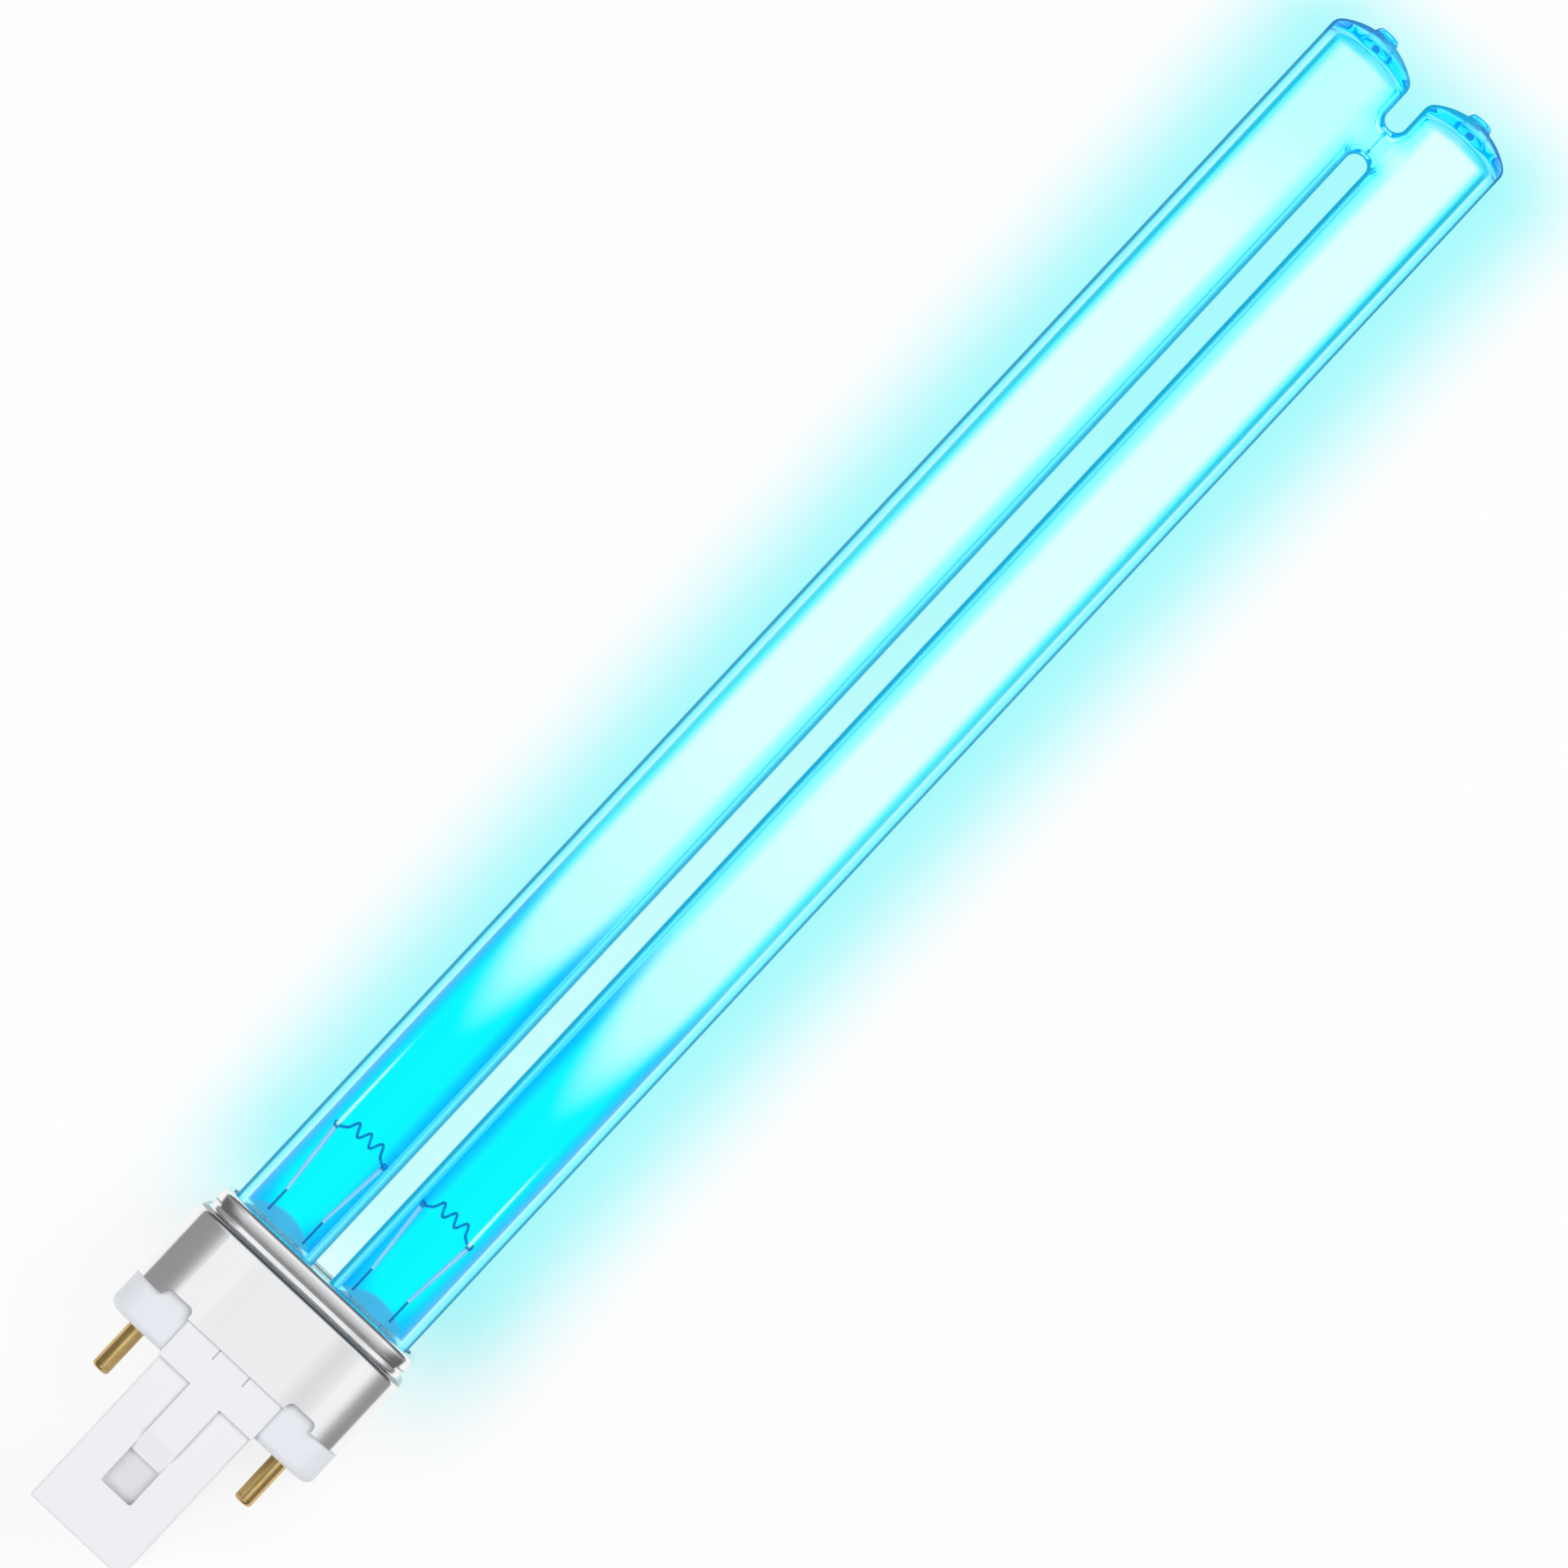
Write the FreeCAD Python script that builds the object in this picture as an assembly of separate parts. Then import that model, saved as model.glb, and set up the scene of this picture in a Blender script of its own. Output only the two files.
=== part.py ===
"""Twin-tube germicidal lamp on a two-pin cap, lying on its flat side.

Frame: X across the two tubes, Y along the lamp with the tips at +Y, Z up through its thickness.
The origin is midway between the contact pins, on the seating plane of the cap. Millimetres.
"""

import FreeCAD, Part
import math
import os

from FreeCAD import Vector

# Glass envelope: two closed tubes joined by a fused bridge near their tips
tube_gap = 2.8
tube_wall = 1.2
lamp_reach = 213.6
tube_foot_y = 12.0
tip_crown = 9.3
tip_knuckle = 1.4
tip_glass = 1.9
bore_crown = 9.3
bore_knuckle = 1.2
nub_radius = 1.45
nub_height = 0.75
nub_crown = 1.7
nub_knuckle = 0.5
pocket_radius = 0.8
pocket_cover = 0.9
bridge_below_apex = 9.95
bridge_radius = 2.3
bridge_bore_radius = 1.25
bridge_land = 0.1
bridge_bore_land = 0.4
seam_width = 0.3
seam_depth = 0.12

# Stems that close the foot of each tube
stem_clearance = 0.02
stem_top_y = 20.4
stem_crown = 11.5
stem_knuckle = 0.3
stem_plug_length = 5.9
press_edge = 1.1
press_thickness = 2.4
press_length = 5.4
press_round = 0.8
exhaust_radius = 0.95
exhaust_length = 3.2

# Electrode mounts: thin lead wires, thicker supports and the coil between them
mount_wall_gap = 0.05
mount_far_gap = 1.35
lead_radius = 0.16
lead_exit = 1.0
lead_entry = 1.2
lead_end_gap = 0.05
seal_clearance = 0.01
support_foot_y = 23.7
support_length = 9.6
support_splay = 0.9
support_foot_radius = 0.24
support_top_radius = 0.36
curl_radius = 0.42
curl_length = 0.7
filament_radius = 0.17
filament_tail = 0.1
coil_radius = 0.71
coil_turns = 3
coil_end_gap = 1.025
coil_rise = 1.1

# Metal cap shell
cap_width = 31.9
cap_side_margin = 2.25
cap_depth = 18.5
cap_corner = 3.4
cap_crown = 8.0
cap_crown_turn = 25.0
shell_wall = 0.35
cap_foot_y = 5.05
cap_shoulder_y = 16.3
cap_top_y = 19.3
rim_inset = 1.02
shoulder_round = 1.0
neck_round = 0.4
rim_round = 0.8
hem_height = 1.9
hem_depth = 0.22
hem_bevel = 0.2
mouth_between = 0.5
mouth_corner = 4.5
notch_width = 4.2
notch_height = 1.25
notch_round = 0.8
notch_gap = 0.2

# White base moulding
fit_gap = 0.05
ear_step = 0.75
ear_corner = 3.4
ear_round = 1.2
block_width = 15.0
block_step = 0.25
block_drop = 0.3
block_round = 0.18
post_width = 14.45
panel_step = 0.5
post_length = 22.5
post_round = 0.35
rib_width = 4.7
rib_round = 0.15
ramp_start = 7.35
ramp_run = 3.15
ramp_fall = 0.95
catch_length = 5.1
catch_depth = 1.45
catch_round = 0.5
slit_width = 0.14
slit_length = 1.5
slit_depth = 0.15
spigot_top_y = 14.4
spigot_wall = 1.3
floor_thickness = 3.2
post_side_wall = 1.3
post_face_wall = 1.9
post_end_wall = 1.3

# Contact pins
pin_side_margin = 4.45
pin_radius = 1.175
pin_reach = 7.1
pin_bore_radius = 0.55
pin_bore_depth = 2.4
pin_seat_depth = 1.4
pin_head_radius = 1.9
pin_head_height = 0.6
pin_tip_round = 0.5
pin_ring_depth = 0.06
pin_ring_width = 0.14
pin_clearance = 0.01

# Cement that holds the tubes in the cap
cement_gap = 0.05
cement_glass_gap = 0.03
cement_drop = 0.1

# Glow starter, suppressor capacitor and their wiring inside the post
seat_gap = 0.1
starter_below_seat = 4.1
starter_side_gap = 0.8
starter_round = 1.6
starter_lead_spread = 1.5
capacitor_width = 9.6
capacitor_foot_gap = 3.6
capacitor_thickness = 3.6
capacitor_round = 0.7
capacitor_lead_spread = 2.5
capacitor_below_starter = 3.0
link_wire_radius = 0.2
link_wire_gap = 0.1
link_rise = 1.2
link_entry = 0.7
link_bend = 0.9
sleeve_radius = 0.85
sleeve_bore_radius = 0.6
sleeve_length = 3.0
sleeve_centre_y = 1.2
lead_bend = 1.0

# Tubes and pins, worked out from the cap that holds them
tube_radius = (cap_width - 2 * cap_side_margin - tube_gap) / 4
tube_pitch = 2 * tube_radius + tube_gap
tube_x = tube_pitch / 2
bore_radius = tube_radius - tube_wall
apex_y = lamp_reach - nub_height
bore_top_y = apex_y - tip_glass
bridge_y = apex_y - bridge_below_apex
bridge_fillet = tube_gap / 2 - bridge_land
bridge_bore_fillet = tube_gap / 2 + tube_wall - bridge_bore_land
pin_spacing = cap_width - 2 * pin_side_margin
pin_x = pin_spacing / 2
pin_head_y = floor_thickness + pin_head_height
pin_bore_foot_y = pin_head_y - pin_bore_depth
pin_seat_foot_y = pin_bore_foot_y - pin_seat_depth

# Electrode mounts, worked out from the bore that they stand in
tail_reach = curl_length / 2 + filament_tail
coil_half_span = bore_radius - tail_reach - (mount_wall_gap + mount_far_gap) / 2
mount_x = tube_x - bore_radius + mount_wall_gap + tail_reach + coil_half_span
lead_spread = coil_half_span - support_splay
outer_lead_x = mount_x + lead_spread
inner_lead_x = mount_x - lead_spread
support_top_y = support_foot_y + support_length
coil_axis_y = support_top_y + coil_rise
coil_length = 2 * (coil_half_span - coil_end_gap)
coil_pitch = coil_length / coil_turns
press_width = 2 * (lead_spread + press_edge)

# Mouth, notches and post, worked out from the cap
rim_half_width = cap_width / 2 - rim_inset - shell_wall
rim_half_depth = cap_depth / 2 - rim_inset - shell_wall
tubes_half_width = tube_x + tube_radius
mouth_half_width = tubes_half_width + mouth_between * (rim_half_width - tubes_half_width)
mouth_half_depth = tube_radius + mouth_between * (rim_half_depth - tube_radius)
notch_offset = (block_width + notch_width) / 2 + notch_gap
post_depth = cap_depth - 2 * (block_step + panel_step)
cavity_width = post_width - 2 * post_side_wall
cavity_depth = post_depth - 2 * post_face_wall
cavity_floor_y = post_end_wall - post_length

# Starter and capacitor, worked out from the cavity of the post
starter_radius = (cavity_depth - capacitor_thickness - starter_side_gap) / 2 - seat_gap
starter_foot_y = cavity_floor_y + seat_gap
starter_top_y = -starter_below_seat
starter_z = cavity_depth / 2 - seat_gap - starter_radius
capacitor_z = -cavity_depth / 2 + seat_gap + capacitor_thickness / 2
capacitor_top_y = starter_top_y - capacitor_below_starter
capacitor_height = capacitor_top_y - cavity_floor_y - capacitor_foot_gap

along_x = Vector(1, 0, 0)
along_y = Vector(0, 1, 0)


def turned(points_and_arcs, x, z=0.0):
    """Solid of revolution about a line along Y through (x, z), from edges drawn with radius as x."""
    face = Part.Face(Part.Wire(points_and_arcs))
    solid = face.revolve(Vector(0, 0, 0), along_y, 360)
    solid.translate(Vector(x, 0, z))
    return solid


def line(r1, y1, r2, y2):
    """Straight edge of a turned profile, from radius and height to radius and height."""
    return Part.LineSegment(Vector(r1, y1, 0), Vector(r2, y2, 0)).toShape()


def domed_end(radius, top_y, crown, knuckle):
    """Profile of a domed end, outside in: a knuckle arc off the wall and a crown arc up to the axis.

    Returns the height where the wall stops and the edges. With no knuckle the crown starts at the wall.
    """
    across = radius - knuckle
    drop = math.sqrt((crown - knuckle) ** 2 - across ** 2)
    lean = math.atan2(drop, across)
    crown_y = top_y - crown
    wall_top_y = crown_y + drop

    def on_crown(angle):
        return Vector(crown * math.cos(angle), crown_y + crown * math.sin(angle), 0)

    def on_knuckle(angle):
        return Vector(across + knuckle * math.cos(angle), wall_top_y + knuckle * math.sin(angle), 0)

    edges = []
    if knuckle > 0:
        edges.append(Part.Arc(Vector(radius, wall_top_y, 0), on_knuckle(lean / 2), on_crown(lean)).toShape())
    apex = Vector(0, top_y, 0)
    edges.append(Part.Arc(on_crown(lean), on_crown((lean + math.pi / 2) / 2), apex).toShape())
    return wall_top_y, edges


def domed_rod(radius, foot_y, top_y, crown, knuckle, x, z=0.0):
    """Round rod along Y, flat at its foot and domed at its top."""
    wall_top_y, dome = domed_end(radius, top_y, crown, knuckle)
    edges = [line(0, foot_y, radius, foot_y), line(radius, foot_y, radius, wall_top_y)]
    edges += dome
    edges.append(line(0, top_y, 0, foot_y))
    return turned(edges, x, z)


def rod(radius, start, end):
    """Straight cylinder between two points."""
    run = end - start
    return Part.makeCylinder(radius, run.Length, start, run)


def rounded_bar(width, depth, corner, low_y, high_y):
    """Bar along Y with a rounded rectangular section, width in X and depth in Z, centred on the axis."""
    bar = Part.makeBox(width, high_y - low_y, depth, Vector(-width / 2, low_y, -depth / 2))
    radius = min(corner, 0.49 * min(width, depth))
    upright = [e for e in bar.Edges if abs(e.Vertexes[0].Y - e.Vertexes[-1].Y) > 0.5 * (high_y - low_y)]
    return bar.makeFillet(radius, upright)


def cap_bar(inset, low_y, high_y):
    """Bar along Y with the cap's section, brought in by inset all round.

    Each flat face runs into a gentle crown arc and that into a tighter corner arc; both keep their centres.
    """
    turn = math.radians(cap_crown_turn)
    corner = cap_corner - inset
    crown = cap_crown - inset
    corner_x = cap_width / 2 - cap_corner
    crown_z = cap_depth / 2 - cap_crown
    crown_x = corner_x - (cap_crown - cap_corner) * math.sin(turn)
    corner_z = crown_z + (cap_crown - cap_corner) * math.cos(turn)

    def on_arc(side, face, x, z, radius, angle):
        return Vector(side * (x + radius * math.sin(angle)), low_y, face * (z + radius * math.cos(angle)))

    edges = []
    for side in (-1, 1):
        for face in (-1, 1):
            angles = (0, turn / 2, turn)
            crown_points = [on_arc(side, face, crown_x, crown_z, crown, angle) for angle in angles]
            angles = (turn, (turn + math.pi / 2) / 2, math.pi / 2)
            corner_points = [on_arc(side, face, corner_x, corner_z, corner, angle) for angle in angles]
            edges.append(Part.Arc(*crown_points).toShape())
            edges.append(Part.Arc(*corner_points).toShape())
        low = on_arc(side, -1, corner_x, corner_z, corner, math.pi / 2)
        high = on_arc(side, 1, corner_x, corner_z, corner, math.pi / 2)
        edges.append(Part.LineSegment(low, high).toShape())
    for face in (-1, 1):
        left = on_arc(-1, face, crown_x, crown_z, crown, 0)
        right = on_arc(1, face, crown_x, crown_z, crown, 0)
        edges.append(Part.LineSegment(left, right).toShape())
    section = Part.Face(Part.Wire(Part.sortEdges(edges)[0]))
    return section.extrude(Vector(0, high_y - low_y, 0))


def edges_at(solid, y):
    """Edges of a solid that lie in one plane across the lamp."""
    return [e for e in solid.Edges if abs(e.BoundBox.YMin - y) < 1e-4 and abs(e.BoundBox.YMax - y) < 1e-4]


def both_sides(make):
    """The solid that make(side) gives for the left and the right half, fused."""
    return make(-1).fuse(make(1))


def bent_wire(points, radius, bend):
    """Round wire along straight runs joined by tangent arcs; no arc takes over 0.45 of a run."""
    edges = []
    here = points[0]
    for corner, after in zip(points[1:-1], points[2:]):
        way_in = corner - here
        way_out = after - corner
        turn = way_in.getAngle(way_out)
        reach = min(bend * math.tan(turn / 2), 0.45 * way_in.Length, 0.45 * way_out.Length)
        way_in.normalize()
        way_out.normalize()
        arc_start = corner - way_in * reach
        arc_end = corner + way_out * reach
        arc_radius = reach / math.tan(turn / 2)
        inward = way_out - way_in
        inward.normalize()
        middle = corner + inward * (arc_radius / math.cos(turn / 2) - arc_radius)
        edges.append(Part.LineSegment(here, arc_start).toShape())
        edges.append(Part.Arc(arc_start, middle, arc_end).toShape())
        here = arc_end
    edges.append(Part.LineSegment(here, points[-1]).toShape())
    section = Part.Wire(Part.Circle(points[0], points[1] - points[0], radius).toShape())
    return Part.Solid(Part.Wire(edges).makePipeShell([section], True, False))


def tube_pair(radius, foot_y, top_y, crown, knuckle):
    """The two parallel tube forms, each closed by a shallow dome."""
    return both_sides(lambda side: domed_rod(radius, foot_y, top_y, crown, knuckle, side * tube_x))


def bridged(pair, radius, fillet):
    """Joins a pair of tube forms by a round bridge, with a flare where it meets each of them."""
    bridge = rod(radius, Vector(-tube_x, bridge_y, 0), Vector(tube_x, bridge_y, 0))
    joined = pair.fuse(bridge).removeSplitter()
    meeting = []
    for edge in joined.Edges:
        box = edge.BoundBox
        near_bridge = abs(box.Center.y - bridge_y) < 0.1 and box.YLength < 2.2 * radius
        if near_bridge and box.ZLength > radius and abs(box.Center.x) < tube_x:
            meeting.append(edge)
    return joined.makeFillet(fillet, meeting)


def glass_envelope():
    """Both tubes and their bridge, hollow, with the sealed nub on each dome."""
    tubes = tube_pair(tube_radius, tube_foot_y, apex_y, tip_crown, tip_knuckle)
    outside = bridged(tubes, bridge_radius, bridge_fillet)
    bores = tube_pair(bore_radius, tube_foot_y - 1, bore_top_y, bore_crown, bore_knuckle)
    inside = bridged(bores, bridge_bore_radius, bridge_bore_fillet)
    pocket_foot_y = bore_top_y - pocket_radius
    pocket_top_y = lamp_reach - pocket_cover
    for side in (-1, 1):
        x = side * tube_x
        outside = outside.fuse(domed_rod(nub_radius, bore_top_y, lamp_reach, nub_crown, nub_knuckle, x))
        inside = inside.fuse(domed_rod(pocket_radius, pocket_foot_y, pocket_top_y, pocket_radius, 0, x))
    half_seam = Vector(seam_width / 2, 0, 0)
    seam_centre = Vector(0, bridge_y, 0)
    seam_ring = rod(bridge_bore_radius + 0.5, seam_centre - half_seam, seam_centre + half_seam)
    seam_hole = rod(bridge_bore_radius - seam_depth, seam_centre - half_seam * 2, seam_centre + half_seam * 2)
    inside = inside.cut(seam_ring.cut(seam_hole))
    return outside.cut(inside)


def stem(side):
    """Glass that closes a tube's foot: a crowned plug above a flat press that grips both leads."""
    plug_radius = bore_radius - stem_clearance
    plug_foot_y = stem_top_y - stem_plug_length
    plug = domed_rod(plug_radius, plug_foot_y, stem_top_y, stem_crown, stem_knuckle, side * tube_x)
    press = rounded_bar(press_width, press_thickness, press_round, plug_foot_y - press_length, plug_foot_y)
    press.translate(Vector(side * mount_x, 0, 0))
    body = plug.fuse(press)
    if side > 0:
        exhaust_tip_y = plug_foot_y - press_length - exhaust_length
        exhaust = domed_rod(exhaust_radius, -plug_foot_y, -exhaust_tip_y, exhaust_radius, 0, 0)
        exhaust.rotate(Vector(0, 0, 0), along_x, 180)
        exhaust.translate(Vector(side * mount_x, 0, 0))
        body = body.fuse(exhaust)
    for x in (outer_lead_x, inner_lead_x):
        start = Vector(side * x, plug_foot_y - press_length - 1, 0)
        end = Vector(side * x, stem_top_y + 1, 0)
        body = body.cut(rod(lead_radius + seal_clearance, start, end))
    return body


def weld_y():
    """Height where a lead wire's end meets the bead at the foot of its support."""
    return support_foot_y - 0.7 * support_foot_radius


def outer_lead(side):
    """Lead wire from the support through the press and down into the contact pin's narrow seat."""
    press_foot_y = stem_top_y - stem_plug_length - press_length
    points = [
        Vector(side * outer_lead_x, weld_y(), 0),
        Vector(side * outer_lead_x, press_foot_y - lead_exit, 0),
        Vector(side * pin_x, pin_head_y + lead_entry, 0),
        Vector(side * pin_x, pin_seat_foot_y + lead_end_gap, 0),
    ]
    return bent_wire(points, lead_radius, lead_bend)


def inner_lead(side):
    """Lead wire from the support straight down to the joining sleeve in the post."""
    top = Vector(side * inner_lead_x, weld_y(), 0)
    return rod(lead_radius, top, Vector(side * inner_lead_x, sleeve_centre_y + link_wire_gap, 0))


def support(side, x, splay):
    """Stout nickel support: bead, tapering shank and a tip curled round the filament's tail."""
    foot = Vector(side * x, support_foot_y, 0)
    top = Vector(side * (x + splay), support_top_y, 0)
    run = top - foot
    shank = Part.makeCone(support_foot_radius, support_top_radius, run.Length, foot, run)
    bead = Part.makeSphere(support_foot_radius * 1.1, foot)
    half_curl = Vector(curl_length / 2, 0, 0)
    curl = rod(curl_radius, top - half_curl, top + half_curl)
    body = shank.fuse(bead).fuse(curl)
    reach = 4 * support_foot_radius
    below = Part.makeBox(2 * reach, reach, 2 * reach, Vector(foot.x - reach, weld_y() - reach, -reach))
    body = body.cut(below)
    return body.cut(rod(filament_radius + seal_clearance, top - half_curl * 3, top + half_curl * 3))


def filament(side):
    """Open coil between the two supports, with a short leg and a straight tail at each end."""
    path = Part.makeHelix(coil_pitch, coil_length, coil_radius)
    start = Vector(coil_radius, 0, 0)
    slope = Vector(0, 2 * math.pi * coil_radius, coil_pitch)
    section = Part.Wire(Part.Circle(start, slope, filament_radius).toShape())
    body = Part.Solid(Part.Wire(path.Edges).makePipeShell([section], True, True))
    turn = FreeCAD.Matrix(0, 0, 1, -coil_length / 2, -1, 0, 0, coil_axis_y, 0, -1, 0, 0, 0, 0, 0, 1)
    body.transformShape(turn)
    knuckle = filament_radius * 1.12
    for end in (-1, 1):
        coil_end = Vector(end * coil_length / 2, coil_axis_y - coil_radius, 0)
        tail_start = Vector(end * (coil_half_span - curl_length / 2 - 0.1), support_top_y, 0)
        tail_end = Vector(end * (coil_half_span + tail_reach), support_top_y, 0)
        for piece in (
            Part.makeSphere(knuckle, coil_end),
            rod(filament_radius, coil_end, tail_start),
            Part.makeSphere(knuckle, tail_start),
            rod(filament_radius, tail_start, tail_end),
        ):
            body = body.fuse(piece)
    body.translate(Vector(side * mount_x, 0, 0))
    return body


def cap_form(inset, foot_y):
    """Outer form of the cap brought in by inset all round: body, soft shoulder, neck and rim."""
    shoulder_y = cap_shoulder_y - inset
    top_y = cap_top_y - inset
    body = cap_bar(inset, foot_y, shoulder_y)
    body = body.makeFillet(shoulder_round - inset / 2, edges_at(body, shoulder_y))
    step = inset + rim_inset
    rim = cap_bar(step, foot_y, top_y)
    rim = rim.makeFillet(rim_round - inset / 2, edges_at(rim, top_y))
    joined = body.fuse(rim)
    neck = [e for e in edges_at(joined, shoulder_y) if e.BoundBox.XLength < cap_width - 2 * step + 0.01]
    return joined.makeFillet(neck_round - inset / 4, neck)


def notch(y_low, y_high, width, round_radius, depth_low, depth_high):
    """Round-topped cutter at the left and right of the cap's foot, through a range of depths."""
    def cutter(side):
        block = Part.makeBox(width, y_high - y_low, depth_high - depth_low,
                             Vector(side * notch_offset - width / 2, y_low, depth_low))
        top = [e for e in edges_at(block, y_high) if e.BoundBox.ZLength > 0.5 * (depth_high - depth_low)]
        return block.makeFillet(round_radius, top)
    return both_sides(cutter)


def rolled_hem():
    """Thicker band round the top of the rim, where the sheet is rolled over."""
    low_y = cap_top_y - hem_height
    hem = cap_bar(rim_inset - hem_depth, low_y, cap_top_y)
    hem = hem.makeFillet(rim_round, edges_at(hem, cap_top_y))
    return hem.makeChamfer(hem_bevel, edges_at(hem, low_y))


def cap_shell():
    """Drawn metal shell with a turned-in rim, open at the foot, notched over each ear."""
    shell = cap_form(0, cap_foot_y).fuse(rolled_hem())
    shell = shell.cut(cap_form(shell_wall, cap_foot_y - 1))
    mouth = rounded_bar(2 * mouth_half_width, 2 * mouth_half_depth, mouth_corner, cap_foot_y, cap_top_y + 1)
    shell = shell.cut(mouth)
    return shell.cut(notch(cap_foot_y - 2, cap_foot_y + notch_height, notch_width, notch_round,
                           -cap_depth, cap_depth))


def catch_cutter(face):
    """What is cut from the rib of one post face: a ramp that falls to a blind catch."""
    face_z = cap_depth / 2 - block_step
    ramp_end_z = face_z - ramp_fall
    floor_z = face_z - catch_depth
    ramp_end_y = -ramp_start - ramp_run
    catch_end_y = ramp_end_y - catch_length
    outline = Part.makePolygon([
        Vector(0, -ramp_start, face_z),
        Vector(0, ramp_end_y, ramp_end_z),
        Vector(0, ramp_end_y, floor_z),
        Vector(0, catch_end_y, floor_z),
        Vector(0, catch_end_y, face_z + 1),
        Vector(0, -ramp_start, face_z + 1),
        Vector(0, -ramp_start, face_z),
    ])
    cutter = Part.Face(outline).extrude(Vector(rib_width, 0, 0))
    cutter.translate(Vector(-rib_width / 2, 0, 0))
    corners = [e for e in cutter.Edges
               if abs(e.BoundBox.YMin - catch_end_y) < 1e-4 and e.BoundBox.YLength < 1e-4
               and e.BoundBox.XLength < 1e-4]
    cutter = cutter.makeFillet(catch_round, corners)
    if face < 0:
        cutter.rotate(Vector(0, 0, 0), along_y, 180)
    return cutter


def slit_cutter(face):
    """Two hairline slits that carry the rib's edges up the block to the shell."""
    face_z = face * (cap_depth / 2 - block_step)
    def slit(side):
        corner = Vector(side * rib_width / 2 - slit_width / 2, cap_foot_y - slit_length, face_z - slit_depth)
        return Part.makeBox(slit_width, slit_length + 0.01, 2 * slit_depth, corner)
    return both_sides(slit)


def base_body():
    """One hollow moulding: ears round the pins, block, post with its ribs, and the spigot in the shell."""
    ears = rounded_bar(cap_width, cap_depth - 2 * ear_step, ear_corner, 0, cap_foot_y)
    ears = ears.makeFillet(ear_round, edges_at(ears, 0))
    block_depth = cap_depth - 2 * block_step
    block = rounded_bar(block_width, block_depth, block_round, -block_drop, cap_foot_y)
    block = block.makeFillet(block_round, edges_at(block, -block_drop))
    post = rounded_bar(post_width, post_depth, post_round, -post_length, floor_thickness)
    post = post.makeFillet(post_round, edges_at(post, -post_length))
    rib = rounded_bar(rib_width, block_depth, rib_round, -ramp_start - ramp_run - 0.01, 0)
    inset = shell_wall + fit_gap
    spigot = cap_bar(inset, cap_foot_y, spigot_top_y)
    pocket_low = cap_depth / 2 - ear_step
    pockets = notch(cap_foot_y - 0.5, cap_foot_y + notch_height + 0.6, notch_width + 0.8, notch_round,
                    pocket_low, cap_depth)
    spigot = spigot.cut(pockets)
    pockets.rotate(Vector(0, 0, 0), along_y, 180)
    spigot = spigot.cut(pockets)
    body = ears.fuse(block).fuse(post).fuse(rib).fuse(spigot)
    body = body.cut(cap_bar(inset + spigot_wall, floor_thickness, spigot_top_y + 1))
    body = body.cut(rounded_bar(cavity_width, cavity_depth, post_round, cavity_floor_y, floor_thickness + 1))
    for face in (-1, 1):
        body = body.cut(catch_cutter(face))
        body = body.cut(slit_cutter(face))
    for side in (-1, 1):
        low = Vector(side * pin_x, -1, 0)
        high = Vector(side * pin_x, floor_thickness + 1, 0)
        body = body.cut(rod(pin_radius + pin_clearance, low, high))
    return body


def contact_pin(side):
    """Brass pin headed over the base floor, bored from its head for the lead wire, round at its tip."""
    tip_y = -pin_reach
    pin = rod(pin_radius, Vector(0, tip_y, 0), Vector(0, pin_head_y, 0))
    pin = pin.makeFillet(pin_tip_round, edges_at(pin, tip_y))
    pin = pin.fuse(rod(pin_head_radius, Vector(0, floor_thickness, 0), Vector(0, pin_head_y, 0)))
    pin = pin.cut(rod(pin_bore_radius, Vector(0, pin_bore_foot_y, 0), Vector(0, pin_head_y + 1, 0)))
    pin = pin.cut(rod(lead_radius + seal_clearance, Vector(0, pin_seat_foot_y, 0), Vector(0, pin_head_y, 0)))
    groove_y = tip_y + pin_tip_round + pin_ring_width
    ring = rod(pin_radius + 1, Vector(0, groove_y, 0), Vector(0, groove_y + pin_ring_width, 0))
    core = rod(pin_radius - pin_ring_depth, Vector(0, groove_y - 1, 0), Vector(0, groove_y + 1, 0))
    pin = pin.cut(ring.cut(core))
    pin.translate(Vector(side * pin_x, 0, 0))
    return pin


def potting_cement():
    """Cement cast round the tubes, from the top of the spigot to just under the shell's mouth."""
    low_y = spigot_top_y + cement_gap
    high_y = cap_top_y - shell_wall - cement_drop
    slab = Part.makeBox(cap_width, high_y - low_y, cap_depth, Vector(-cap_width / 2, low_y, -cap_depth / 2))
    cast = cap_form(shell_wall + cement_gap, cap_foot_y).common(slab)
    tubes = tube_pair(tube_radius + cement_glass_gap, tube_foot_y - 1, apex_y, tip_crown, tip_knuckle)
    return cast.cut(tubes)


def starter_bulb():
    """Sealed glow starter: a small blown bottle with a rounded foot and crown."""
    bulb = rod(starter_radius, Vector(0, starter_foot_y, starter_z), Vector(0, starter_top_y, starter_z))
    return bulb.makeFillet(starter_round, edges_at(bulb, starter_foot_y) + edges_at(bulb, starter_top_y))


def suppressor_capacitor():
    """Dipped film capacitor standing beside the starter."""
    body = Part.makeBox(capacitor_width, capacitor_height, capacitor_thickness,
                        Vector(-capacitor_width / 2, capacitor_top_y - capacitor_height,
                               capacitor_z - capacitor_thickness / 2))
    return body.makeFillet(capacitor_round, body.Edges)


def link_wire(side, foot_x, foot_y, foot_z, join_z):
    """Wire from a component's top face up into the joining sleeve below the lamp's inner lead."""
    join_x = inner_lead_x
    sleeve_foot_y = sleeve_centre_y - sleeve_length / 2
    points = [
        Vector(side * foot_x, foot_y, foot_z),
        Vector(side * foot_x, foot_y + link_rise, foot_z),
        Vector(side * join_x, sleeve_foot_y - link_entry, join_z),
        Vector(side * join_x, sleeve_centre_y - link_wire_gap, join_z),
    ]
    return bent_wire(points, link_wire_radius, link_bend)


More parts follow.
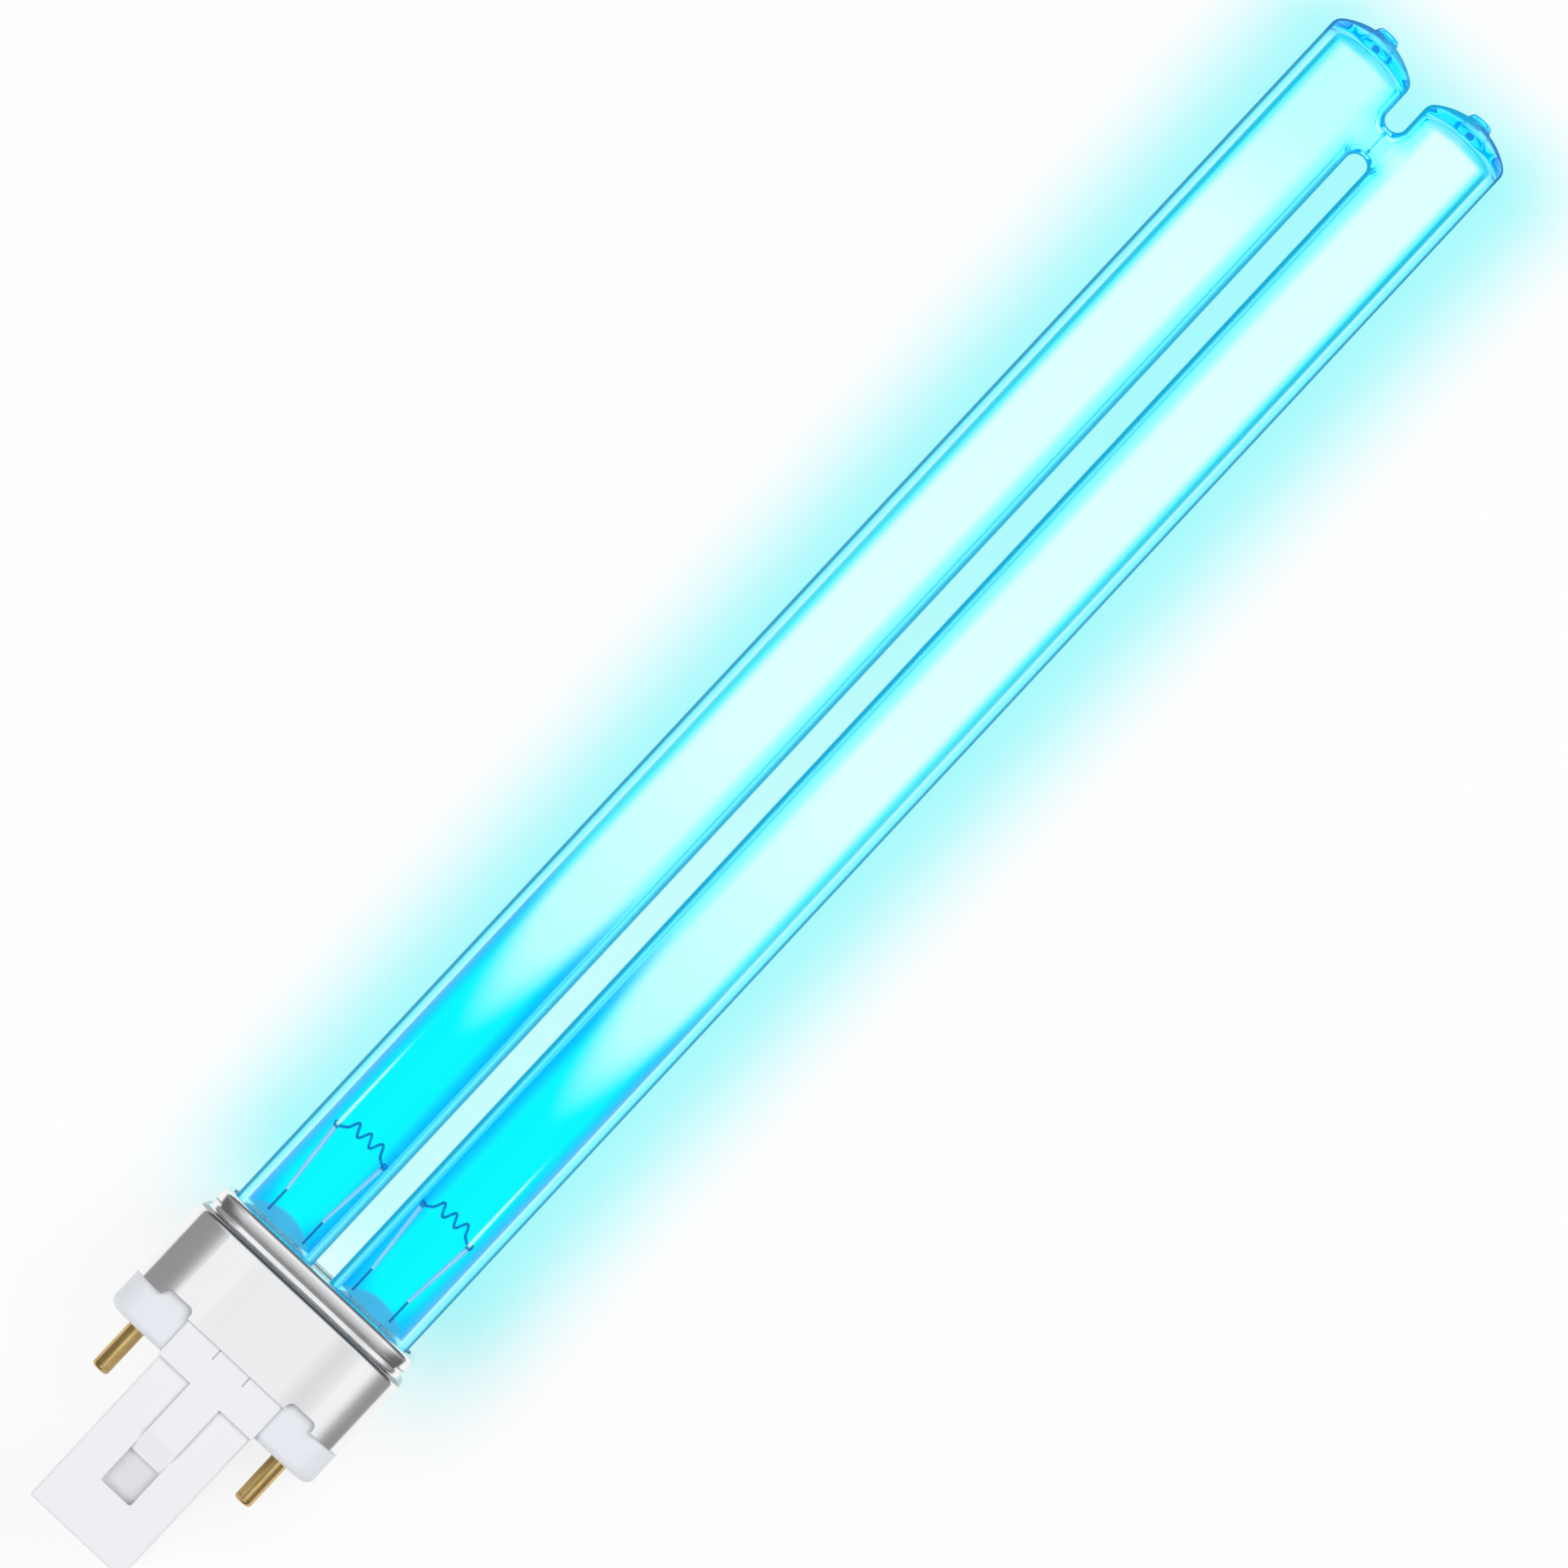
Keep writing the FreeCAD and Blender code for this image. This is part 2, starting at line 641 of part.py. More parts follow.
def joining_sleeve(side):
    """Crimped tube where the lamp's inner lead meets the starter and capacitor wires."""
    low = Vector(side * inner_lead_x, sleeve_centre_y - sleeve_length / 2, 0)
    high = Vector(side * inner_lead_x, sleeve_centre_y + sleeve_length / 2, 0)
    return rod(sleeve_radius, low, high).cut(rod(sleeve_bore_radius, low, high))


def all_parts():
    """Every piece of the lamp by the name of its file."""
    join_offset = link_wire_radius + 0.05
    parts = {
        "glass_envelope": glass_envelope(),
        "cap_shell": cap_shell(),
        "base_body": base_body(),
        "potting_cement": potting_cement(),
        "starter_bulb": starter_bulb(),
        "suppressor_capacitor": suppressor_capacitor(),
    }
    for name, side in (("left", -1), ("right", 1)):
        parts["stem_" + name] = stem(side)
        parts["filament_" + name] = filament(side)
        parts["support_outer_" + name] = support(side, outer_lead_x, support_splay)
        parts["support_inner_" + name] = support(side, inner_lead_x, -support_splay)
        parts["lead_outer_" + name] = outer_lead(side)
        parts["lead_inner_" + name] = inner_lead(side)
        parts["contact_pin_" + name] = contact_pin(side)
        parts["joining_sleeve_" + name] = joining_sleeve(side)
        parts["starter_wire_" + name] = link_wire(
            side, starter_lead_spread, starter_top_y, starter_z, join_offset)
        parts["capacitor_wire_" + name] = link_wire(
            side, capacitor_lead_spread, capacitor_top_y, capacitor_z, -join_offset)
    return parts


def main():
    """Writes one STEP file for each piece."""
    os.makedirs("parts", exist_ok=True)
    for name, shape in all_parts().items():
        shape.exportStep(os.path.join("parts", name + ".step"))
        print(f"{name}: {len(shape.Solids)} solid, {shape.Volume:.2f} mm3, valid {shape.isValid()}")


main()
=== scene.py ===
# %% [markdown]
# A twin-tube germicidal lamp lies on a pale table and glows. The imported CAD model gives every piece
# at its true place, so this lesson only dresses it: glass, discharge, metal, plastic, table and light.
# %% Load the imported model
import math

import bmesh
import bpy
import numpy as np
from mathutils import Matrix, Vector


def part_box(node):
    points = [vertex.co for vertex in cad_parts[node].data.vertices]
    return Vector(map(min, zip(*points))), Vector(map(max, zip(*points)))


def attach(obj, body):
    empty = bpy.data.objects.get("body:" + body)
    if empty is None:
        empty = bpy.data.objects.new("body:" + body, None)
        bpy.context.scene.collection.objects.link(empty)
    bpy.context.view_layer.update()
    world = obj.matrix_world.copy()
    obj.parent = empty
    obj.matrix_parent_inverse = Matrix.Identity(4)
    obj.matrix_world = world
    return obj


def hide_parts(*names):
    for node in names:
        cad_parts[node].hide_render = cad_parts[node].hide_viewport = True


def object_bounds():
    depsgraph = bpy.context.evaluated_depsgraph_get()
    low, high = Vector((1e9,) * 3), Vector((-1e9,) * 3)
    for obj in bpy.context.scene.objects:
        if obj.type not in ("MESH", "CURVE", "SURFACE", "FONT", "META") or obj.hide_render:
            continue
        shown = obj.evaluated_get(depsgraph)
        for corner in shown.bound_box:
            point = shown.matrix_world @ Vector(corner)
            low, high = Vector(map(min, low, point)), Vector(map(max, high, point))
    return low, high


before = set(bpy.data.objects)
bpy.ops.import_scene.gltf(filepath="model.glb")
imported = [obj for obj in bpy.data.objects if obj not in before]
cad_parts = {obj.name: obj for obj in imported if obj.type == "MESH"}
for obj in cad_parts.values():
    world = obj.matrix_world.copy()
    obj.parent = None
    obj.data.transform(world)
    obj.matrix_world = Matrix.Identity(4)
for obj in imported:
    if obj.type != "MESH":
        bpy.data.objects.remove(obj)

cad_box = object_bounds()
print("CAD box, mm:", [round(1000 * v, 2) for corner in cad_box for v in corner])

# %% [markdown]
# All places are in metres, as Blender wants them, but a lamp maker thinks in millimetres. One factor
# turns the maker's sizes into metres, and the sizes that the CAD model already holds are read from it.
# %% Sizes that the pieces share
mm = 0.001
glass_low, glass_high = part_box("glass_envelope")
tube_radius = glass_high.z
tube_x = glass_high.x - tube_radius
glass_foot = glass_low.y
glass_tip = glass_high.y
table_height = cad_box[0].z
print("tubes: radius", round(tube_radius / mm, 3), "at x", round(tube_x / mm, 3), "tip", glass_tip / mm)

# %% [markdown]
# The photograph looks almost straight down on the lamp, with the lamp's long axis climbing to the right
# at 47 degrees. The camera stands 0.85 m above the table, and its aim is the point under the picture's
# centre. The view is turned about the line of sight until the lamp's axis has that slope.
# %% Camera
camera_spot = Vector((10.1, 66.2, 839.4)) * mm
aim_spot = Vector((0.52, 98.76, 0.0)) * mm
axis_slope = math.radians(46.98)
sensor_width = 36.0
focal_length = 162.46
clip_range = (0.05, 20.0)


def new_object(name, data):
    """An object of that name and data, linked to the scene and at the origin."""
    thing = bpy.data.objects.new(name, data)
    bpy.context.scene.collection.objects.link(thing)
    return thing


back = (camera_spot - aim_spot).normalized()
long_axis = Vector((0, 1, 0))
up_slope = (long_axis - long_axis.dot(back) * back).normalized()
level = up_slope.cross(back)
right = math.cos(axis_slope) * up_slope + math.sin(axis_slope) * level
up = back.cross(right)

camera_data = bpy.data.cameras.new("studio_camera")
camera_data.sensor_width = sensor_width
camera_data.lens = focal_length
camera_data.clip_start, camera_data.clip_end = clip_range
camera = new_object("studio_camera", camera_data)
camera.matrix_world = Matrix.Translation(camera_spot) @ Matrix((right, up, back)).transposed().to_4x4()
bpy.context.scene.camera = camera
bpy.context.scene.view_settings.view_transform = "Standard"
print("camera looks along", [round(v, 4) for v in -back])

# %% [markdown]
# A material is a small network of nodes. A few helpers keep each recipe short: one starts a material,
# one adds a node with its settings and joins, and the rest are the sums and blends that recipes share.
# A pattern reads the piece's own coordinates, so that it stays put when the lamp is seen from elsewhere.
# %% Helpers for materials
white = (1, 1, 1, 1)
black = (0, 0, 0, 1)
corner_samples = 8


def new_finish(name):
    """An empty material of that name, and its node tree."""
    material = bpy.data.materials.new(name)
    material.use_nodes = True
    material.node_tree.nodes.clear()
    return material, material.node_tree


def join_or_set(tree, socket, value):
    """Joins a socket to another one or to a node's first output, or sets it to a plain value."""
    if isinstance(value, bpy.types.Node):
        value = value.outputs[0]
    if isinstance(value, bpy.types.NodeSocket):
        tree.links.new(value, socket)
    else:
        socket.default_value = value


def add_node(tree, kind, settings=None, **inputs):
    """A node of that kind, with its own options from settings.

    Each input is named as its socket, with _ for a space, or i0, i1 and so on by its number.
    """
    node = tree.nodes.new("ShaderNode" + kind)
    for option, value in (settings or {}).items():
        setattr(node, option, value)
    for key, value in inputs.items():
        numbered = key[0] == "i" and key[1:].isdigit()
        socket = node.inputs[int(key[1:])] if numbered else node.inputs[key.replace("_", " ")]
        join_or_set(tree, socket, value)
    return node


def blend_colours(tree, share, first, second):
    """Colour that runs from the first to the second as share goes from 0 to 1."""
    return add_node(tree, "Mix", {"data_type": "RGBA"}, i0=share, i6=first, i7=second).outputs[2]


def blend_shaders(tree, share, first, second):
    """Shader that runs from the first to the second as share goes from 0 to 1."""
    return add_node(tree, "MixShader", i0=share, i1=first, i2=second)


def calculated(tree, operation, *values):
    """Result of a maths node on up to three numbers or sockets."""
    inputs = {f"i{index}": value for index, value in enumerate(values)}
    return add_node(tree, "Math", {"operation": operation}, **inputs).outputs[0]


def folded(tree, operation, values):
    """Result of an operation on two values, carried along a row of them."""
    result = values[0]
    for value in values[1:]:
        result = calculated(tree, operation, result, value)
    return result


def product(tree, *values):
    """Product of several values, such as shares between 0 and 1."""
    return folded(tree, "MULTIPLY", values)


def largest(tree, *values):
    """The largest of several values."""
    return folded(tree, "MAXIMUM", values)


def rest_of(tree, share):
    """One minus that share."""
    return calculated(tree, "SUBTRACT", 1.0, share)


def size_of(tree, value):
    """The value without its sign."""
    return calculated(tree, "ABSOLUTE", value)


def ranged(tree, value, start, end, low=0.0, high=1.0, style="LINEAR"):
    """Value mapped from start..end to low..high in a straight line, and held beyond both ends."""
    return add_node(tree, "MapRange", {"interpolation_type": style}, Value=value,
                    From_Min=start, From_Max=end, To_Min=low, To_Max=high).outputs[0]


def eased(tree, value, start, end, low=0.0, high=1.0):
    """Value mapped from start..end to low..high with soft ends."""
    return ranged(tree, value, start, end, low, high, "SMOOTHSTEP")


def object_place(tree):
    """Sockets x, y, z of a point in the piece's own coordinates."""
    return add_node(tree, "SeparateXYZ", Vector=add_node(tree, "TexCoord").outputs["Object"]).outputs


def turned_away(tree):
    """0 where the surface faces the eye, rising to 1 at its outline."""
    return add_node(tree, "LayerWeight", Blend=0.5).outputs["Facing"]


def grain(tree, scale, detail, roughness=0.5, stretch=(1, 1, 1)):
    """Noise value on object coordinates times stretch, so that a stretch under 1 draws the pattern out."""
    place = add_node(tree, "TexCoord").outputs["Object"]
    mapping = add_node(tree, "Mapping", Vector=place, Scale=stretch)
    noise = add_node(tree, "TexNoise", Vector=mapping, Scale=scale, Detail=detail, Roughness=roughness)
    return noise.outputs["Fac"]


def shaded_corners(tree, reach, start, end):
    """Share from 0 in the open to 1 deep in a corner, from how much of the space within reach is free."""
    free = add_node(tree, "AmbientOcclusion", {"samples": corner_samples}, Distance=reach).outputs["AO"]
    return eased(tree, free, start, end, 1, 0)


def raised(tree, height, depth):
    """Normal socket of a bump of that height pattern, depth in metres."""
    return add_node(tree, "Bump", Height=height, Strength=1.0, Distance=depth).outputs[0]


def dimmed(colour, share):
    """The colour with its red, green and blue times share."""
    return tuple(share * part for part in colour[:3]) + (1,)


# %% [markdown]
# The table is one pale sheet. The lamp's light is painted on it as a cyan glow that hugs the tubes: full
# beside the glass, gone about 17 mm further out, and faded towards the cap and beyond the tips. In the
# slot between the tubes it is paler near the cap. The glow is painted light in the table's own colour,
# worked out from the distance to the lamp in object coordinates. Camera, glossy and transmission rays see
# four fifths of that colour as the sheet's own light, and in the slot's paler part all of it, so no shade
# shows there. So the sheet reads as white in the picture, in the glass and in the metal, and still keeps
# the lamp's soft shadow.
# %% Table
table_half_width = 3.0
glow_centre_x = 0.4 * mm
glow_side_x = (13.0 * mm, 29.7 * mm)
glow_cap_y = (6.0 * mm, 30.0 * mm)
glow_tip_y = (209.0 * mm, 225.0 * mm)
painted_glow_colour = (0.40, 0.965, 0.985, 1)
slot_side_x = (1.8 * mm, 3.0 * mm)
slot_cap_y = (12.0 * mm, 19.0 * mm)
slot_tip_y = (70.0 * mm, 170.0 * mm)
painted_slot_glow = (0.58, 0.985, 0.99, 1)
table_share = 0.80


def flat_sheet(name, half_width, height):
    """A square in the plane z = height, its corners half_width from the origin along x and y."""
    corner = half_width * np.array([[-1, -1], [1, -1], [1, 1], [-1, 1]])
    mesh = bpy.data.meshes.new(name)
    mesh.from_pydata(np.c_[corner, np.full(4, height)].tolist(), [], [[0, 1, 2, 3]])
    return new_object(name, mesh)


def long_patch(tree, aside, y, side_x, cap_y, tip_y):
    """Share of a patch along Y with soft edges: at side_x aside, at cap_y below and at tip_y above."""
    return product(tree, eased(tree, aside, *side_x, 1, 0), eased(tree, y, *cap_y),
                   eased(tree, y, *tip_y, 1, 0))


def table_finish():
    """White sheet with the lamp's glow painted on it, seen by most rays of the picture as its own light."""
    material, tree = new_finish("pale_table")
    x, y, _ = object_place(tree)
    aside = size_of(tree, calculated(tree, "SUBTRACT", x, glow_centre_x))
    # Painted light: the lamp's cyan glow on the table, and a paler glow in the slot near the cap.
    glow = long_patch(tree, aside, y, glow_side_x, glow_cap_y, glow_tip_y)
    in_slot = long_patch(tree, aside, y, slot_side_x, slot_cap_y, slot_tip_y)
    tint = blend_colours(tree, in_slot, painted_glow_colour, painted_slot_glow)
    colour = blend_colours(tree, glow, white, tint)
    paper = add_node(tree, "BsdfDiffuse", Color=colour)
    light = add_node(tree, "Emission", Color=colour, Strength=1.0)
    ray = add_node(tree, "LightPath").outputs
    seen = largest(tree, ray["Is Camera Ray"], ray["Is Glossy Ray"], ray["Is Transmission Ray"])
    share = product(tree, seen, largest(tree, in_slot, table_share))
    add_node(tree, "OutputMaterial", Surface=blend_shaders(tree, share, paper, light))
    return material


table = flat_sheet("pale_table", table_half_width, table_height)
table.data.materials.append(table_finish())
print("table at", round(table_height / mm, 3), "mm")

# %% [markdown]
# The studio is a soft white room. A round metal corner or a rod that lies along Y mirrors only the sky
# over its two sides, and the cap's shoulder only the sky towards the lamp's ends. So the sky is bright
# overhead, falls off quickly to the left and late to the right, and is nearly dark low down beyond both
# ends: that draws the wide grey bands on the cap's corners and the dark line under its rim. Two large
# lamps at the diagonals light the white plastic. Mirrors don't show them, so that no hot spot breaks
# the bands.
# %% World and lamps
sky_tint = (0.985, 0.99, 1, 1)
sky_overhead = 0.97
sky_sides = 0.30
sky_ends = 0.12
left_start = -0.05
left_fall = 0.12
right_fall = (0.38, 0.75)
ends_rise = (0.50, 0.92)
ends_start = (0.30, 0.55)
softbox_size = 0.80
softbox_watts = 6.0
softbox_aim = Vector((0, 0.06, 0))
softbox_spots = {"cap_softbox": (-0.60, -0.60, 0.85), "tip_softbox": (0.60, 0.70, 0.80)}


def studio_sky():
    """Sky strength from the direction's x, y, z.

    Over the lamp's middle it runs from sky_overhead to sky_sides, as an exponential of x on the left and
    with soft ends on the right. Towards the lamp's ends it follows the height z instead. The camera
    itself sees it white.
    """
    world = bpy.data.worlds.new("soft_room")
    world.use_nodes = True
    tree = world.node_tree
    tree.nodes.clear()
    x, y, z = add_node(tree, "SeparateXYZ", Vector=add_node(tree, "TexCoord").outputs["Generated"]).outputs
    depth = calculated(tree, "DIVIDE", calculated(tree, "SUBTRACT", x, left_start), left_fall)
    left = rest_of(tree, calculated(tree, "EXPONENT", depth))
    aside = largest(tree, left, eased(tree, x, *right_fall))
    sides = ranged(tree, aside, 0, 1, sky_overhead, sky_sides)
    ends = eased(tree, z, *ends_rise, sky_ends, sky_overhead)
    middle = eased(tree, size_of(tree, y), *ends_start, 1, 0)
    more = calculated(tree, "SUBTRACT", sides, ends)
    strength = calculated(tree, "MULTIPLY_ADD", middle, more, ends)
    strength = largest(tree, strength, add_node(tree, "LightPath").outputs["Is Camera Ray"])
    add_node(tree, "OutputWorld", Surface=add_node(tree, "Background", Color=sky_tint, Strength=strength))
    return world


def softbox(name, spot):
    """Square area lamp at spot that faces softbox_aim and that no mirror shows."""
    data = bpy.data.lights.new(name, "AREA")
    data.shape = "SQUARE"
    data.size = softbox_size
    data.energy = softbox_watts
    turn = (Vector(spot) - softbox_aim).to_track_quat("Z", "Y").to_matrix().to_4x4()
    lamp = new_object(name, data)
    lamp.matrix_world = Matrix.Translation(spot) @ turn
    lamp.visible_glossy = False


bpy.context.scene.world = studio_sky()
for lamp_name, lamp_spot in softbox_spots.items():
    softbox(lamp_name, lamp_spot)
print("lamps:", list(softbox_spots))

# %% [markdown]
# The glass is the piece that makes this lamp: two tubes with domed tips, hollow, joined near the tips by
# a short bridge that flares into both of them. A closed glass body bends light cleanly only if its outer
# and inner skins are smooth and meet the bridge without a crease, so both are worked out as surfaces.
# First comes the outline of a tube: a straight wall, a small knuckle arc and a shallow crown arc. The
# outer crown ends in the nub where the tube was sealed, and the bore's crown in a pocket under it.
# %% Outline of a domed tube
tube_wall = 1.2 * mm
tip_glass = 1.9 * mm
dome_crown = 9.3 * mm
outer_knuckle = 1.4 * mm
inner_knuckle = 1.2 * mm
nub_radius, nub_side, nub_height = 1.85 * mm, 0.55 * mm, 0.75 * mm
pocket_radius, pocket_side, pocket_depth = 1.05 * mm, 0.8 * mm, 1.45 * mm
bore_radius = tube_radius - tube_wall
dome_top = glass_tip - nub_height
bore_top = dome_top - tip_glass
bridge_y = dome_top - 9.95 * mm
bridge_window = 3.95 * mm
lower_wall_rows, bridge_rows, upper_wall_rows = 24, 33, 6
knuckle_rows, crown_rows = 14, 48


def dome_outline(radius, foot, top, knuckle, bump):
    """Rows (r, y) of a tube's outline, foot to apex.

    The wall runs at r = radius. The knuckle is an arc about (radius - knuckle, wall top), and the crown
    an arc about (0, top - dome_crown) that meets it in a tangent. bump(r) is added to the crown's height.
    """
    across = radius - knuckle
    drop = math.sqrt((dome_crown - knuckle) ** 2 - across ** 2)
    lean = math.atan2(drop, across)
    wall_top = top - dome_crown + drop
    near_bridge = bridge_y + np.linspace(-1, 1, bridge_rows) * bridge_window
    lower_wall = np.linspace(foot, near_bridge[0], lower_wall_rows)[:-1]
    upper_wall = np.linspace(near_bridge[-1], wall_top, upper_wall_rows)[1:]
    wall = np.r_[lower_wall, near_bridge, upper_wall]
    turn = np.linspace(0, lean, knuckle_rows)[1:]
    knuckle_arc = np.c_[across + knuckle * np.cos(turn), wall_top + knuckle * np.sin(turn)]
    r = np.linspace(dome_crown * math.cos(lean), 0, crown_rows)[1:]
    crown_arc = np.c_[r, top - dome_crown + np.sqrt(dome_crown ** 2 - r ** 2) + bump(r)]
    return np.vstack([np.c_[np.full(len(wall), radius), wall], knuckle_arc, crown_arc])


def boss(r, radius, side, height):
    """A flat-topped boss about the axis, whose half-cosine side is that wide and ends at radius."""
    rise = np.clip((radius - r) / side, 0, 1)
    return height * 0.5 * (1 - np.cos(math.pi * rise))


def nub_bump(r):
    """The sealed nub on the outer crown."""
    return boss(r, nub_radius, nub_side, nub_height)


def pocket_bump(r):
    """The pocket that the sealed exhaust leaves in the bore's crown."""
    return boss(r, pocket_radius, pocket_side, pocket_depth)


outer_outline = dome_outline(tube_radius, glass_foot, dome_top, outer_knuckle, nub_bump)
inner_outline = dome_outline(bore_radius, glass_foot, bore_top, inner_knuckle, pocket_bump)
print("outline rows:", len(outer_outline), len(inner_outline))

# %% [markdown]
# A turned surface is a grid: one row per outline point, one column per turn angle. Angle 0 faces the
# other tube. Triangles from the last row to the pole close the crown. Hand sealing leaves small ripples
# in the bore's crown, which make the tip sparkle.
# %% Grid of a turned tube
turn_columns = 144
ripple_height = 0.16 * mm
ripple_from_wall = 1.6 * mm
ripple_from_axis = 1.2 * mm


def turned_grid(outline, ripple=None):
    """Points of a turned surface about the tube's axis, shape (rows, columns, 3), without the apex.

    Point = (tube_x - r cos t, y, r sin t), t from 0 all the way round. ripple(r, t) is added to y.
    """
    t = 2 * math.pi * np.arange(turn_columns) / turn_columns
    r = outline[:-1, :1]
    y = outline[:-1, 1:] + 0 * t
    if ripple is not None:
        y = y + ripple(r, t)
    return np.stack([tube_x - r * np.cos(t), y, r * np.sin(t)], -1)


def grid_quads(rows):
    """Corner numbers of the quads of such a grid, which closes on itself across its columns."""
    row, column = np.meshgrid(np.arange(rows - 1), np.arange(turn_columns), indexing="ij")
    after = (column + 1) % turn_columns
    here, above = row * turn_columns, (row + 1) * turn_columns
    return np.stack([here + column, here + after, above + after, above + column], -1)


def pole_fan(rows, pole):
    """Triangles from the last row of such a grid to the point with the number pole."""
    rim = (rows - 1) * turn_columns + np.arange(turn_columns)
    return np.stack([rim, np.roll(rim, -1), np.full(turn_columns, pole)], -1).tolist()


def crown_ripple(r, t):
    """Ripples in the bore's crown, none on the wall or at the axis.

    Height = ripple_height (sin(3 t + 0.6) + 0.6 sin(5 t + 2.1)), faded out towards both.
    """
    spread = np.clip((bore_radius - r) / ripple_from_wall, 0, 1) * np.clip(r / ripple_from_axis, 0, 1)
    return ripple_height * spread * (np.sin(3 * t + 0.6) + 0.6 * np.sin(5 * t + 2.1))


print("grid columns:", turn_columns)

# %% [markdown]
# The bridge grows out of the wall that faces the other tube. A rectangular window is left out of the
# grid there, and a flared spout fills it. Each point on the window's edge walks along the wall towards
# the bridge's axis and then leaves the wall along a quarter circle, so the spout starts level with the
# wall and ends as a round pipe. Both pipes meet in the middle, where the join shows as a fine seam.
# %% Window and spout
bridge_radius, bridge_flare, outer_seam = 2.3 * mm, 1.3 * mm, -0.05 * mm
bridge_bore, bridge_bore_flare, bore_seam = 1.25 * mm, 2.2 * mm, 0.12 * mm
seam_width = 0.16 * mm
wall_rings, flare_rings, pipe_rings = 6, 13, 9


def window_and_edge(outline, wall_radius):
    """Which quads of the grid stay beside the window, and the numbers of the points on its edge."""
    first = int(np.argmin(np.abs(outline[:, 1] - (bridge_y - bridge_window))))
    last = first + bridge_rows - 1
    half = math.ceil(math.asin(bridge_window / wall_radius) / (2 * math.pi / turn_columns))
    stays = np.ones((len(outline) - 2, turn_columns), bool)
    stays[first:last, np.arange(-half, half) % turn_columns] = False
    up_side = np.arange(first, last)
    over = np.arange(-half, half)
    rows = np.r_[up_side, np.full(2 * half, last), up_side[::-1] + 1, np.full(2 * half, first)]
    columns = np.r_[np.full(len(up_side), -half), over, np.full(len(up_side), half), over[::-1] + 1]
    return stays, rows * turn_columns + columns % turn_columns


def spout(edge, wall_radius, pipe_radius, flare, seam):
    """Rings from the window's edge to the middle plane x = 0.

    With the polar place (p, f) of an edge point about the bridge's axis, each ring keeps the angle f.
    p shrinks to pipe_radius + flare, then p = pipe_radius + flare (1 - sin b) and the ring leaves the
    wall by flare (1 - cos b), b from 0 to 90 degrees. The pipe then runs straight to x = 0, where seam
    adds to its radius as a bell curve.
    """
    y, z = edge[:, 1] - bridge_y, edge[:, 2]
    p, f = np.hypot(y, z), np.arctan2(z, y)
    inwards = np.linspace(0, 1, wall_rings)[1:, None]
    b = np.linspace(0, math.pi / 2, flare_rings)[1:, None]
    on_wall = p + (pipe_radius + flare - p) * inwards
    on_flare = pipe_radius + flare * (1 - np.sin(b)) + 0 * p
    ring_p = np.vstack([on_wall, on_flare])
    rise = np.vstack([0 * on_wall, flare * (1 - np.cos(b)) + 0 * p])
    x = tube_x - np.sqrt(wall_radius ** 2 - (ring_p * np.sin(f)) ** 2) - rise
    pipe_x = x[-1] * np.linspace(1, 0, pipe_rings)[1:, None]
    pipe_p = pipe_radius + seam * np.exp(-(pipe_x / seam_width) ** 2)
    ring_p, x = np.vstack([ring_p, pipe_p]), np.vstack([x, pipe_x])
    return np.stack([x, bridge_y + ring_p * np.cos(f), ring_p * np.sin(f)], -1)


def half_skin(outline, wall_radius, pipe_radius, flare, seam, ripple=None):
    """Points and faces of one tube's skin: turned grid with a window, spout and pole."""
    points = turned_grid(outline, ripple).reshape(-1, 3)
    stays, edge = window_and_edge(outline, wall_radius)
    rings = spout(points[edge], wall_radius, pipe_radius, flare, seam)
    ring_shape = rings.shape[:2]
    pole = len(points) + math.prod(ring_shape)
    ring_ids = np.vstack([edge, np.arange(len(points), pole).reshape(ring_shape)])
    after = np.roll(ring_ids, -1, axis=1)
    spout_quads = np.stack([ring_ids[:-1], after[:-1], after[1:], ring_ids[1:]], -1).reshape(-1, 4)
    rows = len(outline) - 1
    apex = np.array([[tube_x, outline[-1, 1], 0]])
    faces = grid_quads(rows)[stays].tolist() + spout_quads.tolist() + pole_fan(rows, pole)
    return np.vstack([points, rings.reshape(-1, 3), apex]), faces


outer_half = half_skin(outer_outline, tube_radius, bridge_radius, bridge_flare, outer_seam)
inner_half = half_skin(inner_outline, bore_radius, bridge_bore, bridge_bore_flare, bore_seam, crown_ripple)
print("faces of the half skins:", len(outer_half[1]), len(inner_half[1]))

# %% [markdown]
# The right half is one outer skin, one bore and a flat ring between them at the foot. Its mirror image
# makes the left half. Stacked and merged, they are one closed body, and only then can Blender tell
# which side of each face is outside.
# %% Glass body
merge_distance = 1e-7


def ring_between(outer_ring, inner_ring):
    """Flat ring of quads that joins two rings of as many points."""
    count = len(outer_ring)
    points = np.vstack([outer_ring, inner_ring])
    here = np.arange(count)
    after = np.roll(here, -1)
    return points, np.stack([here, after, after + count, here + count], -1).tolist()


def mirrored(points, faces):
    """The same surface on the other side of the plane x = 0."""
    return points * np.array([-1, 1, 1]), faces


def merge_outwards(mesh):
    """Merges doubles, turns all faces outwards and shades them smooth."""
    work = bmesh.new()
    work.from_mesh(mesh)
    bmesh.ops.remove_doubles(work, verts=work.verts, dist=merge_distance)
    bmesh.ops.recalc_face_normals(work, faces=work.faces)
    loose = sum(1 for edge in work.edges if len(edge.link_faces) != 2)
    work.to_mesh(mesh)
    work.free()
    mesh.polygons.foreach_set("use_smooth", np.ones(len(mesh.polygons), bool))
    print(mesh.name, "faces", len(mesh.polygons), "open edges", loose)


def joined_piece(name, parts):
    """One closed object from several (points, faces): stacked, doubles merged, faces turned outwards."""
    stacked, faces, start = [], [], 0
    for points, own_faces in parts:
        stacked.append(points)
        faces += [[start + corner for corner in face] for face in own_faces]
        start += len(points)
    mesh = bpy.data.meshes.new(name)
    mesh.from_pydata(np.vstack(stacked).tolist(), [], faces)
    merge_outwards(mesh)
    return new_object(name, mesh)


